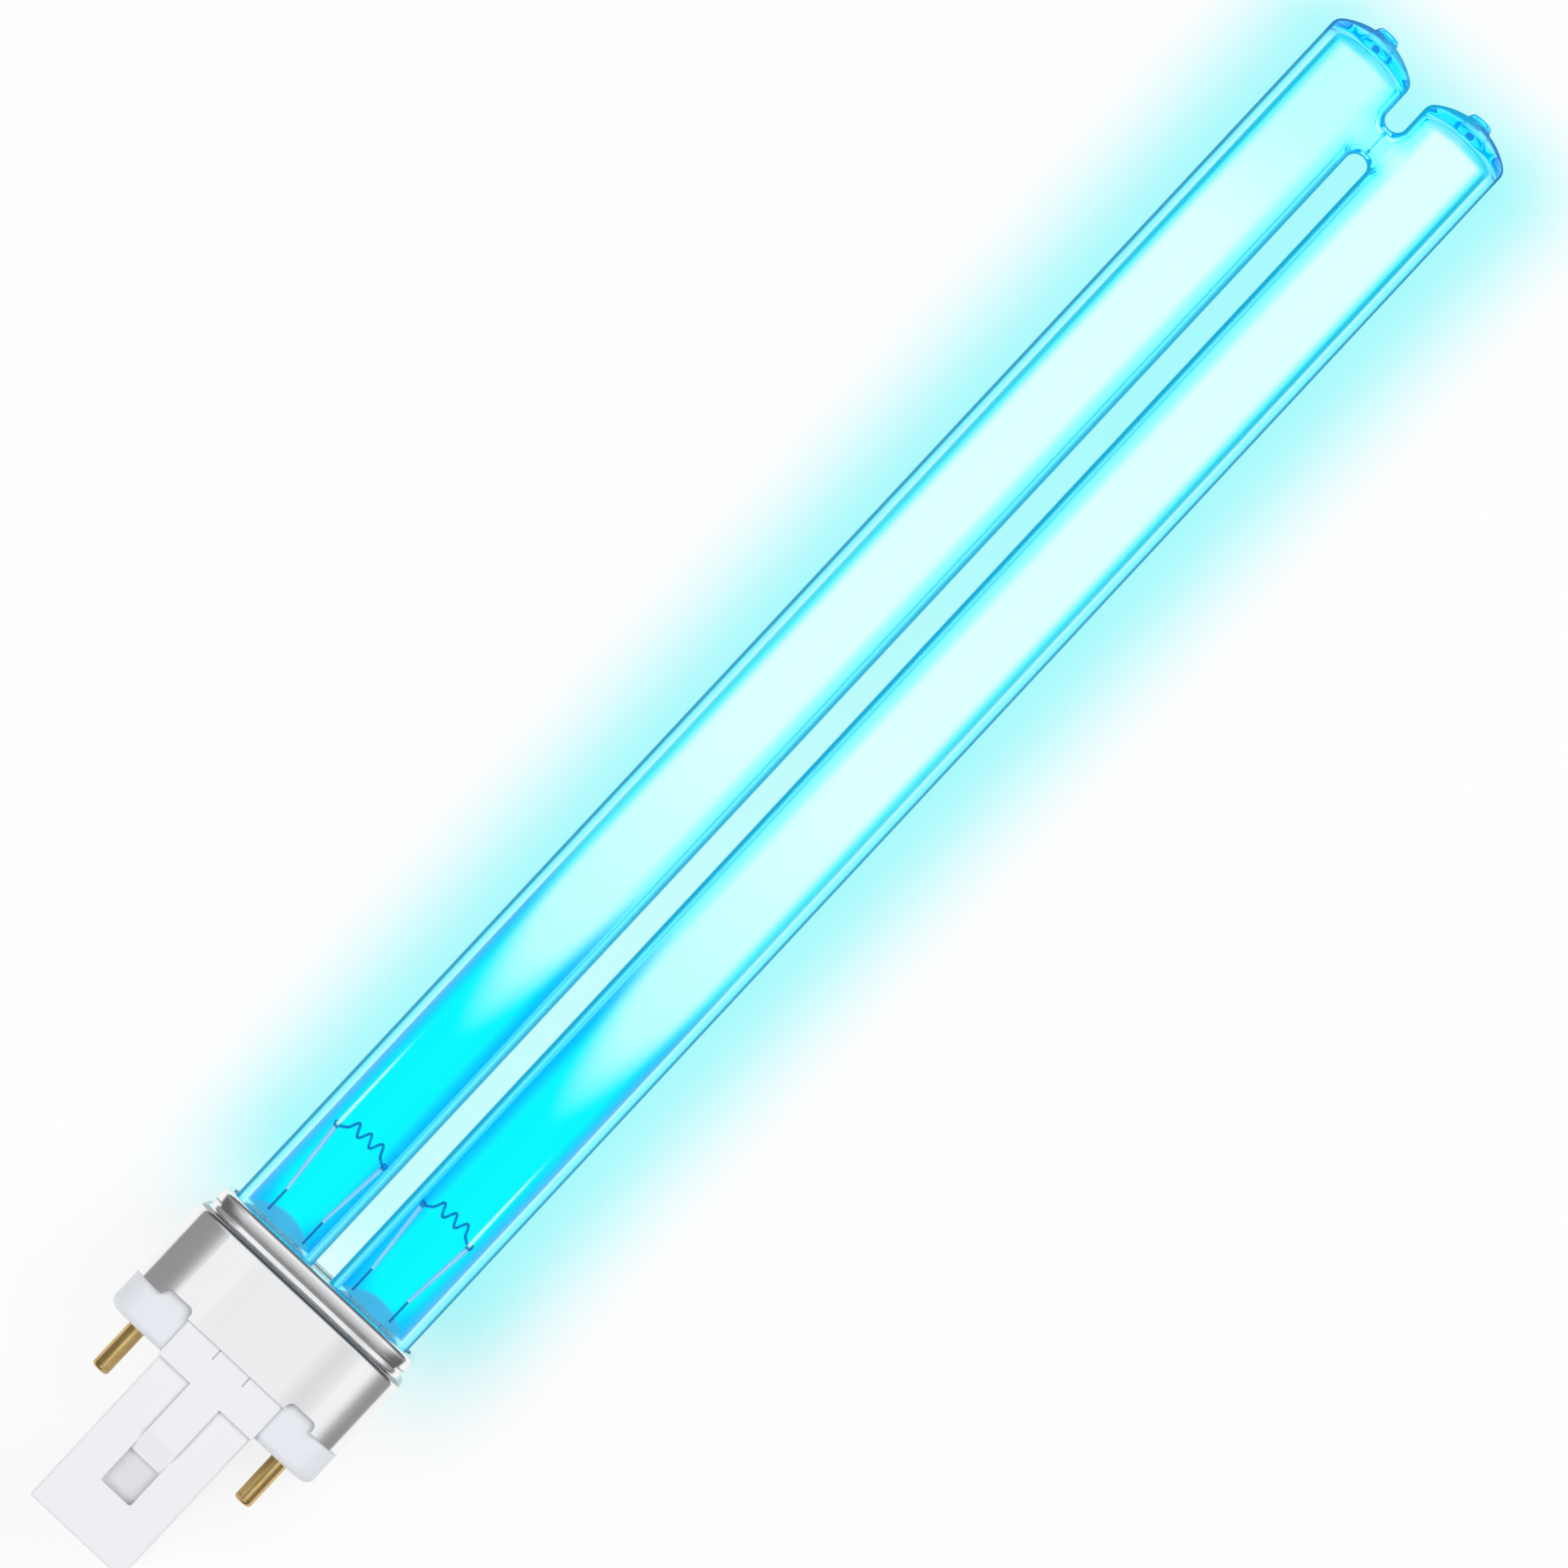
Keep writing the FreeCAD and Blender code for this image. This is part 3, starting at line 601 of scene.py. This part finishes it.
foot_ring = ring_between(outer_half[0][:turn_columns], inner_half[0][:turn_columns])
glass_parts = [outer_half, inner_half, foot_ring]
glass = joined_piece("glass_tubes", glass_parts + [mirrored(*part) for part in glass_parts])
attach(glass, "root")
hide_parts("glass_envelope")

# %% [markdown]
# Quartz is clear and bends light by an index of 1.46, so the closed body shows its wall as a pale band
# by itself. Thick glass takes the red out of the light. The light of the discharge that is trapped in the
# glass is painted in as blue emission, which keeps its rims, its sealed tips and its bridge blue, and the
# rim of the outer skin also gets a painted blue colour. A tint alone stays pale at the outline, where glass
# mirrors the white room most, so the outer skin also has painted contours of blue light, darker than that
# reflection: a thin one outside, a wide one towards the slot, and one over the edge of the bore that grows
# stronger towards the tip. All of them go by how far the surface turns away from the eye, from 0 in the
# middle of a tube to 1 at its outline.
# %% Glass finish
quartz_index = 1.46
quartz_specular = (0.02, 0.45, 0.75, 1)
inside_cyan, quartz_density = (0.25, 0.955, 1.0, 1), 240.0
side_cyan, side_turn = (0.42, 0.97, 1.0, 1), (0.36, 0.52)
tip_cyan, tip_y = (0.36, 0.84, 1.0, 1), (dome_top - 5.2 * mm, dome_top - 3.7 * mm)
# Painted light: a blue colour on the rim, and blue emission for light trapped in the glass, its sealed tips
# and bridge.
rim_blue, rim_turn = (0.05, 0.24, 0.42, 1), (0.56, 0.84)
trapped_glow_blue, trapped_turn = (0.002, 0.045, 0.14, 1), (0.22, 0.70)
sealed_glow_blue, sealed_y = (0.0, 0.09, 0.26, 1), (bore_top - 0.4 * mm, bore_top + 0.6 * mm)
bridge_x, bridge_start = (2.6 * mm, 3.4 * mm), bridge_y - 5 * mm
# Painted contours: blue emission over the outline, darker than the pale reflection that it covers.
outline_blue = (0.012, 0.30, 0.52, 1)
tip_line_blue = (0.0, 0.20, 0.50, 1)
slot_line_blue = (0.003, 0.40, 0.68, 1)
thin_turn, thin_share, thin_left_gain = (0.64, 0.76), 0.85, 0.06
wide_turn, wide_share, wide_left_loss = (0.50, 0.68), 0.95, 0.25
bore_edge_blue = (0.002, 0.50, 0.78, 1)
bore_edge_in, bore_edge_out = (0.26, 0.32), (0.35, 0.42)
bore_edge_y = (50 * mm, 70 * mm)
bore_edge_growth = (100 * mm, 200 * mm, 0.30, 0.85)
side_blend = 1 * mm


def length_of(tree, **parts):
    """Length of the vector with those parts X, Y and Z."""
    vector = add_node(tree, "CombineXYZ", **parts)
    return add_node(tree, "VectorMath", {"operation": "LENGTH"}, i0=vector).outputs["Value"]


def outer_skin_share(tree):
    """1 on the glass body's outer skin and 0 on its bore, by the distances to tube axis and dome centre."""
    x, y, z = object_place(tree)
    off_axis = calculated(tree, "SUBTRACT", size_of(tree, x), tube_x)
    over_centre = largest(tree, calculated(tree, "SUBTRACT", y, dome_top - dome_crown), 0.0)
    radius = length_of(tree, X=off_axis, Z=z)
    reach = length_of(tree, X=off_axis, Y=over_centre, Z=z)
    on_wall = calculated(tree, "GREATER_THAN", radius, tube_radius - tube_wall / 2)
    on_dome = calculated(tree, "GREATER_THAN", reach, dome_crown - tip_glass / 2)
    return largest(tree, on_wall, on_dome)


def quartz_body(tree, turned, outer, tip):
    """Clear shader: cyan where it turns away and at the tips, painted blue on the rim, and painted emission
    for the trapped light.
    """
    x, y, _ = object_place(tree)
    cyan = blend_colours(tree, eased(tree, turned, *side_turn), white, side_cyan)
    cyan = blend_colours(tree, tip, cyan, tip_cyan)
    rim = product(tree, outer, eased(tree, turned, *rim_turn))
    at_bridge = product(tree, eased(tree, size_of(tree, x), *bridge_x, 1, 0),
                        calculated(tree, "GREATER_THAN", y, bridge_start))
    sealed = largest(tree, at_bridge, eased(tree, y, *sealed_y))
    trapped = blend_colours(tree, eased(tree, turned, *trapped_turn), black, trapped_glow_blue)
    return add_node(
        tree, "BsdfPrincipled", Base_Color=blend_colours(tree, rim, cyan, rim_blue), Roughness=0.0,
        IOR=quartz_index, Transmission_Weight=1.0, Specular_Tint=quartz_specular,
        Emission_Color=blend_colours(tree, sealed, trapped, sealed_glow_blue), Emission_Strength=1.0)


def with_contours(tree, body, turned, outer, tip):
    """The body with its painted contours of blue emission over it: both outlines first, then the line over
    the bore's edge.

    The thin outline is a little wider on the left tube, and the wide one a little weaker.
    """
    x, y, _ = object_place(tree)
    outside = eased(tree, size_of(tree, x), tube_x - side_blend, tube_x + side_blend)
    slot_side = rest_of(tree, outside)
    on_left = eased(tree, x, -side_blend, side_blend, 1, 0)
    colour = blend_colours(tree, tip, outline_blue, tip_line_blue)
    colour = blend_colours(tree, slot_side, colour, slot_line_blue)
    thin = calculated(tree, "MULTIPLY_ADD", product(tree, on_left, outside), thin_left_gain, turned)
    thin = eased(tree, thin, *thin_turn, 0, thin_share)
    strength = calculated(tree, "MULTIPLY_ADD", on_left, -wide_left_loss, wide_share)
    wide = product(tree, slot_side, strength, eased(tree, turned, *wide_turn))
    share = product(tree, outer, largest(tree, thin, wide))
    lined = blend_shaders(tree, share, body, add_node(tree, "Emission", Color=colour))
    band = product(tree, eased(tree, turned, *bore_edge_in), eased(tree, turned, *bore_edge_out, 1, 0))
    along = product(tree, eased(tree, y, *bore_edge_y), eased(tree, y, *bore_edge_growth))
    share = product(tree, outer, outside, band, along, rest_of(tree, tip))
    return blend_shaders(tree, share, lined, add_node(tree, "Emission", Color=bore_edge_blue))


def quartz_finish():
    """Clear quartz with its painted contours and painted trapped light, and cyan absorption in the glass."""
    material, tree = new_finish("clear_quartz")
    turned = turned_away(tree)
    outer = outer_skin_share(tree)
    tip = eased(tree, object_place(tree)[1], *tip_y)
    surface = with_contours(tree, quartz_body(tree, turned, outer, tip), turned, outer, tip)
    inside = add_node(tree, "VolumeAbsorption", Color=inside_cyan, Density=quartz_density)
    add_node(tree, "OutputMaterial", Surface=surface, Volume=inside)
    return material


glass.data.materials.append(quartz_finish())
glass.visible_shadow = False
glass.visible_diffuse = False
print("glass wears", glass.data.materials[0].name)

# %% [markdown]
# The discharge fills the bore from the stems up, over the bridge and down again. It is drawn as a thin
# skin just inside the glass, made as the bore is, with a shallow dome at its foot over each stem.
# %% Skin of the discharge
gas_gap = 0.06 * mm
gas_radius = bore_radius - gas_gap
gas_seam = 0.10 * mm
gas_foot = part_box("stem_right")[1].y - 0.6 * mm
foot_rise = 0.65 * mm
foot_rings = 13


def foot_cap(ring):
    """Dome that closes a ring at its foot: height foot_rise (1 - s^2), s the share of the radius."""
    centre = ring.mean(0)
    share = np.linspace(1, 0, foot_rings)[:-1, None, None]
    points = centre + (ring - centre) * share
    points[..., 1] += foot_rise * (1 - share[..., 0] ** 2)
    rows = len(points)
    pole = centre + np.array([0, foot_rise, 0])
    faces = grid_quads(rows).reshape(-1, 4).tolist() + pole_fan(rows, rows * turn_columns)
    return np.vstack([points.reshape(-1, 3), pole]), faces


gas_outline = dome_outline(gas_radius, gas_foot, bore_top - gas_gap, inner_knuckle, pocket_bump)
gas_half = half_skin(
    gas_outline, gas_radius, bridge_bore - gas_gap, bridge_bore_flare + gas_gap, gas_seam, crown_ripple)
gas_parts = [gas_half, foot_cap(gas_half[0][:turn_columns])]
gas = joined_piece("glowing_gas", gas_parts + [mirrored(*part) for part in gas_parts])
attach(gas, "root")

# %% [markdown]
# Near the electrodes the discharge is deep cyan, beyond them it turns to pale white-cyan, and along the
# bore's edge, where the eye looks through most gas, it deepens to blue. Its bridge has a colour of its
# own, and over each stem it looks like a blue lens. Over each outer support, on the upper side, a thin
# bright streak is painted into it: a painted highlight.
# %% Colours of the discharge
deep_cyan, soft_cyan, pale_cyan = (0.002, 0.92, 0.99, 1), (0.56, 1.0, 0.995, 1), (0.87, 1.0, 1.0, 1)
left_tip_cyan, right_tip_cyan = (0.62, 1.0, 1.0, 1), (0.88, 1.0, 1.0, 1)
rim_deep, edge_deep = (0.003, 0.60, 0.97, 1), (0.003, 0.38, 0.88, 1)
rim_outer, edge_outer = (0.10, 0.93, 0.97, 1), (0.035, 0.76, 0.88, 1)
rim_inner, edge_inner = (0.40, 0.985, 0.985, 1), (0.26, 0.95, 0.97, 1)
seam_blue, bridge_cyan = (0.002, 0.50, 0.86, 1), (0.34, 0.93, 0.97, 1)
foot_blue, painted_highlight_cyan = (0.07, 0.45, 0.78, 1), (0.60, 1.0, 0.985, 1)
pale_front_y, pale_front_lag = (50 * mm, 66 * mm), 700.0
soft_y, near_tip_y = (55 * mm, 110 * mm), (178 * mm, 203 * mm)
left_to_right = (-2 * mm, 2 * mm)
slot_to_outside = (-0.5 * mm, 0.5 * mm)
gas_rim_turn, gas_edge_turn = (0.18, 0.50), (0.42, 0.80)
near_bridge_x = (1.4 * mm, 4.2 * mm)
near_bridge_y = (bridge_y - 4.5 * mm, bridge_y - 2.5 * mm)
lens_y, lens_bend = (gas_foot + 1.3 * mm, gas_foot + 1.8 * mm), 70.0
highlight_x, highlight_y, highlight_half_width = 10.35 * mm, (33.0 * mm, 50.0 * mm), (0.26 * mm, 0.09 * mm)
highlight_edge, highlight_start, highlight_fade = (0.4, 1.3), 0.6 * mm, 9 * mm


def gas_colour(tree, x, y):
    """Colour by place and by angle to the eye.

    Along the tube a deep cyan gives way to a pale one, behind a front that lags at the tube's sides. Where
    the skin turns away, rim and edge colours take over: blue in the deep zone, paler towards the slot.
    The bridge is bridge_cyan, and the lens at each tube's foot, whose top is a parabola, is foot_blue.
    """
    turned = turned_away(tree)
    across = calculated(tree, "SUBTRACT", size_of(tree, x), tube_x)
    lag = product(tree, across, across, pale_front_lag)
    pale = eased(tree, calculated(tree, "SUBTRACT", y, lag), *pale_front_y)
    soft = blend_colours(tree, eased(tree, y, *soft_y), soft_cyan, pale_cyan)
    near_tip = blend_colours(tree, eased(tree, x, *left_to_right), left_tip_cyan, right_tip_cyan)
    soft = blend_colours(tree, eased(tree, y, *near_tip_y), soft, near_tip)
    body = blend_colours(tree, pale, deep_cyan, soft)
    slot_side = eased(tree, across, *slot_to_outside, 1, 0)
    rim = blend_colours(tree, pale, rim_deep, blend_colours(tree, slot_side, rim_outer, rim_inner))
    edge = blend_colours(tree, pale, edge_deep, blend_colours(tree, slot_side, edge_outer, edge_inner))
    colour = blend_colours(tree, eased(tree, turned, *gas_rim_turn), body, rim)
    colour = blend_colours(tree, eased(tree, turned, *gas_edge_turn), colour, edge)
    at_bridge = product(tree, eased(tree, size_of(tree, x), *near_bridge_x, 1, 0),
                        eased(tree, y, *near_bridge_y))
    colour = blend_colours(tree, at_bridge, colour, bridge_cyan)
    bent_y = calculated(tree, "ADD", y, product(tree, across, across, lens_bend))
    return blend_colours(tree, eased(tree, bent_y, *lens_y, 1, 0), colour, foot_blue)


def painted_highlight(tree, x, y, z):
    """Share of the painted highlight above each outer support, on its upper side: a line along Y that tapers
    upwards.
    """
    aside = size_of(tree, calculated(tree, "SUBTRACT", size_of(tree, x), highlight_x))
    half_width = ranged(tree, y, *highlight_y, *highlight_half_width)
    inside = eased(tree, calculated(tree, "DIVIDE", aside, half_width), *highlight_edge, 1, 0)
    start = eased(tree, y, highlight_y[0], highlight_y[0] + highlight_start)
    fade = eased(tree, y, highlight_y[1] - highlight_fade, highlight_y[1], 1, 0)
    return product(tree, inside, start, fade, calculated(tree, "GREATER_THAN", z, 0.0))


print("pale front at", [round(v / mm, 1) for v in pale_front_y], "mm")

# %% [markdown]
# Every line of sight meets two walls of the skin. The far one is seen from its back, and its glow covers
# what lies behind it. The near one is mostly clear, and clearest beside the electrodes, so that they stay
# visible. The join in the middle of the bridge shows as a blue line.
# %% Glow of the discharge
gas_strength = 1.05
seam_line = (0.14 * mm, 0.32 * mm, 0.9, 0)
near_wall = (40 * mm, 60 * mm, 0.10, 0.30)
far_wall_share = 0.995
highlight_share = 0.95


def gas_finish():
    """Emission of gas_colour, with the painted highlights and the seam's line drawn over it.

    The far wall covers what is behind it, the near wall only a share of it, and mirrored rays see no
    more of either than that share.
    """
    material, tree = new_finish("cyan_discharge")
    x, y, z = object_place(tree)
    # Painted highlight: a thin bright streak over each outer support, on the upper side.
    highlight = painted_highlight(tree, x, y, z)
    seam = eased(tree, size_of(tree, x), *seam_line)
    colour = blend_colours(tree, highlight, gas_colour(tree, x, y), painted_highlight_cyan)
    colour = blend_colours(tree, seam, colour, seam_blue)
    light = add_node(tree, "Emission", Color=colour, Strength=gas_strength)
    far_side = add_node(tree, "NewGeometry").outputs["Backfacing"]
    ray = add_node(tree, "LightPath").outputs
    direct = largest(tree, rest_of(tree, ray["Is Glossy Ray"]), ray["Is Transmission Ray"])
    share = ranged(tree, product(tree, far_side, direct), 0, 1, eased(tree, y, *near_wall), far_wall_share)
    share = largest(tree, share, product(tree, highlight, highlight_share), seam)
    clear = add_node(tree, "BsdfTransparent")
    add_node(tree, "OutputMaterial", Surface=blend_shaders(tree, share, clear, light))
    return material


gas.data.materials.append(gas_finish())
gas.visible_shadow = False
gas.visible_diffuse = False
print("discharge wears", gas.data.materials[0].name)

# %% [markdown]
# The kept CAD pieces only need their finishes, each made once for every node that wears it. Pins, wires
# and supports are drawn metal, so fine streaks run along Y in their colour, gloss and surface. Those
# inside the tubes get painted light of the discharge: blue in their colours and blue emission. The
# supports' curled tips, which stand before the glow, get painted shade in dark blue. The pins get painted
# shade in their corners.
# %% Metals
noise_middle = (0.35, 0.65)
fine_middle = (0.3, 0.7)
metal_grain = 900.0
metal_depth = 3e-6
metal_gloss = (0.9, 1.12)
metal_corner, metal_corner_share = (0.25, 0.85), 0.12
caught_turn = (0.12, 0.45)
unlit_blue = (0.0, 0.02, 0.10, 1)
curl_shade_blue = (0.02, 0.10, 0.35, 1)
curl_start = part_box("support_outer_left")[1].y - 0.9 * mm
curl_blend = 0.2 * mm


def metal_finish(name, colour, darker, roughness, grain_scale=metal_grain, drawn=0.2, corner=None,
                 glow=None, curl=None):
    """Metal with streaks in its colour, roughness and surface, drawn out along Y to 1 / drawn.

    corner is the reach in metres within which the metal's own corners and neighbours darken it with
    painted shade. glow is the light that it catches from the discharge, painted in as emission, dropped
    towards its outline and past the height curl, where the metal is painted dark blue as shade before the
    glow.
    """
    material, tree = new_finish(name)
    stretch = (1, drawn, 1)
    streaks = grain(tree, grain_scale, detail=3.0, roughness=0.6, stretch=stretch)
    fine = grain(tree, grain_scale * 3, detail=2.0, stretch=stretch)
    surface = blend_colours(tree, eased(tree, streaks, *noise_middle), darker, colour)
    lit = {}
    if corner:
        # Painted shade in the metal's corners and beside its neighbours.
        hollow_shade = shaded_corners(tree, corner, *metal_corner)
        surface = blend_colours(tree, hollow_shade, surface, dimmed(darker, metal_corner_share))
    if glow:
        # Painted light: emission for the discharge's light, and past the curl painted shade in dark blue.
        caught = blend_colours(tree, eased(tree, turned_away(tree), *caught_turn), glow, unlit_blue)
        if curl:
            past = eased(tree, object_place(tree)[1], curl - curl_blend, curl + curl_blend)
            caught = blend_colours(tree, past, caught, unlit_blue)
            surface = blend_colours(tree, past, surface, curl_shade_blue)
        lit = {"Emission_Color": caught, "Emission_Strength": 1.0}
    sharper, duller = metal_gloss
    gloss = eased(tree, fine, *fine_middle, roughness * sharper, roughness * duller)
    shader = add_node(tree, "BsdfPrincipled", Metallic=1.0, Base_Color=surface, Roughness=gloss,
                      Normal=raised(tree, fine, metal_depth), **lit)
    add_node(tree, "OutputMaterial", Surface=shader)
    return material


finishes = {
    "pin_brass": metal_finish(
        "brass", (0.74, 0.52, 0.22, 1), (0.62, 0.42, 0.16, 1), roughness=0.24, drawn=0.3,
        corner=0.4 * mm),
    # Painted light: the blue in the colours of supports, leads and filament stands for the discharge's light
    # on them.
    "support_metal": metal_finish(
        "nickel", (0.50, 0.62, 0.90, 1), (0.40, 0.52, 0.82, 1), roughness=0.22,
        glow=(0.18, 0.29, 0.50, 1), curl=curl_start),
    "lead_metal": metal_finish(
        "copper_plated_iron", (0.02, 0.10, 0.35, 1), (0.01, 0.07, 0.26, 1), roughness=0.35,
        glow=(0.01, 0.08, 0.24, 1)),
    "filament_metal": metal_finish(
        "tungsten", (0.004, 0.10, 0.45, 1), (0.004, 0.07, 0.36, 1), roughness=0.45, grain_scale=1500.0,
        drawn=1, glow=(0.0, 0.10, 0.38, 1)),
    "sleeve_metal": metal_finish(
        "tinned_sleeve", (0.70, 0.70, 0.68, 1), (0.60, 0.60, 0.58, 1), roughness=0.35),
    "tinned_wire": metal_finish(
        "tinned_wire", (0.66, 0.66, 0.66, 1), (0.55, 0.55, 0.55, 1), roughness=0.35),
}
print("metals:", sorted(finishes))

# %% [markdown]
# The cap is drawn from satin aluminium. Its pressed faces are a little dished and its rolled hem is
# crowned. Those curves are slighter than the imported facets show, but metal mirrors every one of them,
# so they are a bump of their true height in metres. The groove under the hem lies in shade, and painted
# shade darkens it further, as it darkens the corners.
# %% Cap
cap_dull, cap_bright, cap_shade = (0.92, 0.92, 0.925, 1), (0.95, 0.95, 0.955, 1), (0.20, 0.21, 0.24, 1)
cap_grain, cap_roughness = 700.0, (0.17, 0.21)
cap_corner, cap_corner_reach = (0.25, 0.80), 0.5 * mm
face_lip = 0.14 * mm
face_lip_x = (6.0 * mm, 10.8 * mm)
hem_y = (17.05 * mm, 18.70 * mm)
hem_slope = 0.26
hem_curl = 74.0
mouth_rim = 0.5 * mm
groove_y = (15.80 * mm, 16.35 * mm)
groove_edge = 0.1 * mm
groove_share = 0.7


def cap_finish():
    """Satin drawn aluminium with painted shade in its groove and its corners, but not inside its mouth.

    Its pressed face is a little dished: the surface rises with soft ends by face_lip towards both corners.
    The rolled hem is crowned: at t below its top the surface has fallen by t (hem_slope + hem_curl t).
    """
    material, tree = new_finish("satin_aluminium")
    x, y, _ = object_place(tree)
    lip = eased(tree, size_of(tree, x), *face_lip_x, 0, face_lip)
    low, high = hem_y
    below_top = ranged(tree, y, low, high, high - low, 0)
    fall = product(tree, below_top, calculated(tree, "MULTIPLY_ADD", below_top, hem_curl, hem_slope))
    height = calculated(tree, "SUBTRACT", lip, fall)
    # Painted shade: darker in the corners below the mouth and in a band along the groove under the hem.
    below_mouth = eased(tree, y, high - mouth_rim, high, 1, 0)
    corners = product(tree, shaded_corners(tree, cap_corner_reach, *cap_corner), below_mouth)
    low, high = groove_y
    groove = product(tree, eased(tree, y, low - groove_edge, low + groove_edge),
                     eased(tree, y, high - groove_edge, high, groove_share, 0))
    streaks = grain(tree, cap_grain, detail=3.0, roughness=0.6, stretch=(1, 0.10, 1))
    surface = blend_colours(tree, eased(tree, streaks, *noise_middle), cap_dull, cap_bright)
    surface = blend_colours(tree, largest(tree, groove, corners), surface, cap_shade)
    shader = add_node(tree, "BsdfPrincipled", Metallic=1.0, Base_Color=surface,
                      Roughness=eased(tree, streaks, *fine_middle, *cap_roughness),
                      Normal=raised(tree, height, 1.0))
    add_node(tree, "OutputMaterial", Surface=shader)
    return material


finishes["cap_metal"] = cap_finish()
print("cap wears", finishes["cap_metal"].name)

# %% [markdown]
# The base is moulded in white plastic. A moulding is never one flat colour: it is faintly mottled and
# its skin has a fine texture. Painted shade greys it in its hollows and along thin lines. The ears beside
# the block get a blue-grey painted shade, and the catch on the post an even grey painted shade. The
# starter's glass and the capacitor inside the post follow the same recipe in their own colours.
# %% Plastics
plastic_mottling = 260.0
plastic_skin, plastic_gloss = 3200.0, (-0.06, 0.08)
# Painted shade: grey in hollows and along thin lines, where little space is free around a point.
hollow_shade_reach, hollow_shade_open, hollow_shade_share = 5.0 * mm, (0.35, 0.95), 0.80
line_shade_reach, line_shade_open, line_shade_share = 0.3 * mm, (0.25, 0.70), 0.66
# Painted shade on the ears and in the catch.
ear_shade = (0.835, 0.86, 0.905, 1)
ear_x = (7.4 * mm, 7.6 * mm)
catch_shade = (0.745, 0.75, 0.775, 1)
catch_half_width = 2.35 * mm
catch_y = (-15.6 * mm, -10.5 * mm)


def plastic_finish(name, colour, darker, roughness, depth, shaded_by_place=None):
    """Moulded plastic: faint mottling, a fine skin texture, a soft gloss, and painted shade on lines and in
    hollows.

    An optional function of tree and surface paints shade on the surface by place; it also gives the
    share of the painted shade on lines and in hollows that is kept.
    """
    material, tree = new_finish(name)
    surface = blend_colours(tree, grain(tree, plastic_mottling, detail=3.0), darker, colour)
    kept = 1.0
    if shaded_by_place:
        surface, kept = shaded_by_place(tree, surface)
    hollow_shade = product(tree, kept, shaded_corners(tree, hollow_shade_reach, *hollow_shade_open))
    surface = blend_colours(tree, hollow_shade, surface, dimmed(darker, hollow_shade_share))
    line_shade = product(tree, kept, shaded_corners(tree, line_shade_reach, *line_shade_open))
    surface = blend_colours(tree, line_shade, surface, dimmed(darker, line_shade_share))
    skin = grain(tree, plastic_skin, detail=2.0)
    sharper, duller = plastic_gloss
    gloss = eased(tree, skin, *fine_middle, roughness + sharper, roughness + duller)
    shader = add_node(tree, "BsdfPrincipled", IOR=1.5, Base_Color=surface, Roughness=gloss,
                      Normal=raised(tree, skin, depth))
    add_node(tree, "OutputMaterial", Surface=shader)
    return material


def base_shade(tree, surface):
    """Painted shade: blue-grey on the ears on both sides of the block, and an even grey in the catch,
    without the painted lines or hollows.
    """
    x, y, _ = object_place(tree)
    aside = size_of(tree, x)
    surface = blend_colours(tree, eased(tree, aside, *ear_x), surface, ear_shade)
    low, high = catch_y
    catch = product(tree, calculated(tree, "GREATER_THAN", y, low), calculated(tree, "LESS_THAN", y, high),
                    calculated(tree, "LESS_THAN", aside, catch_half_width))
    return blend_colours(tree, catch, surface, catch_shade), rest_of(tree, catch)


finishes["base_plastic"] = plastic_finish(
    "white_moulding", (0.905, 0.915, 0.935, 1), (0.885, 0.895, 0.92, 1), roughness=0.42, depth=5e-6,
    shaded_by_place=base_shade)
finishes["capacitor_coat"] = plastic_finish(
    "dipped_coat", (0.30, 0.10, 0.03, 1), (0.25, 0.08, 0.02, 1), roughness=0.30, depth=5e-6)
finishes["starter_glass"] = plastic_finish(
    "starter_glass", (0.80, 0.86, 0.84, 1), (0.76, 0.83, 0.81, 1), roughness=0.12, depth=2e-6)
print("finishes so far:", len(finishes))

# %% [markdown]
# The stems are pressed glass, thicker and milkier than the tubes. The cement that holds the tubes in
# the cap is cast and grainy, with the glow beside it painted into its colour as a faint blue.
# %% Stems and cement
stem_cloud = 500.0
cement_grain, cement_pits = 1500.0, 0.15 * mm


def stem_finish():
    """Pressed glass, bluer than the tube and a little milky."""
    material, tree = new_finish("stem_glass")
    cloud = grain(tree, stem_cloud, detail=3.0)
    colour = blend_colours(tree, cloud, (0.36, 0.66, 0.92, 1), (0.50, 0.80, 0.98, 1))
    shader = add_node(tree, "BsdfPrincipled", Roughness=0.20, IOR=1.5, Base_Color=colour,
                      Transmission_Weight=0.6)
    add_node(tree, "OutputMaterial", Surface=shader)
    return material


def cement_finish():
    """Pale cast cement with fine grains and pits, and the glow painted into its colour as a faint blue."""
    material, tree = new_finish("pale_cement")
    grains = grain(tree, cement_grain, detail=5.0, roughness=0.65)
    # Painted light: a faint blue of the glow in the cement's colours.
    colour = blend_colours(tree, grains, (0.66, 0.86, 0.90, 1), (0.84, 0.95, 0.97, 1))
    shader = add_node(tree, "BsdfPrincipled", Roughness=0.75, Base_Color=colour,
                      Normal=raised(tree, grains, cement_pits))
    add_node(tree, "OutputMaterial", Surface=shader)
    return material


finishes["stem_glass"] = stem_finish()
finishes["cement"] = cement_finish()
print("finishes:", len(finishes))

# %% [markdown]
# Each kept node carries a material slot named after what it is made of. Its finish goes into that slot.
# %% Dress the kept pieces
dressed = []
for node_name in sorted(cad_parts):
    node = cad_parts[node_name]
    slot_name = node.data.materials[0].name
    if slot_name in finishes:
        node.data.materials[0] = finishes[slot_name]
        dressed.append(node_name)
print("dressed pieces:", len(dressed))
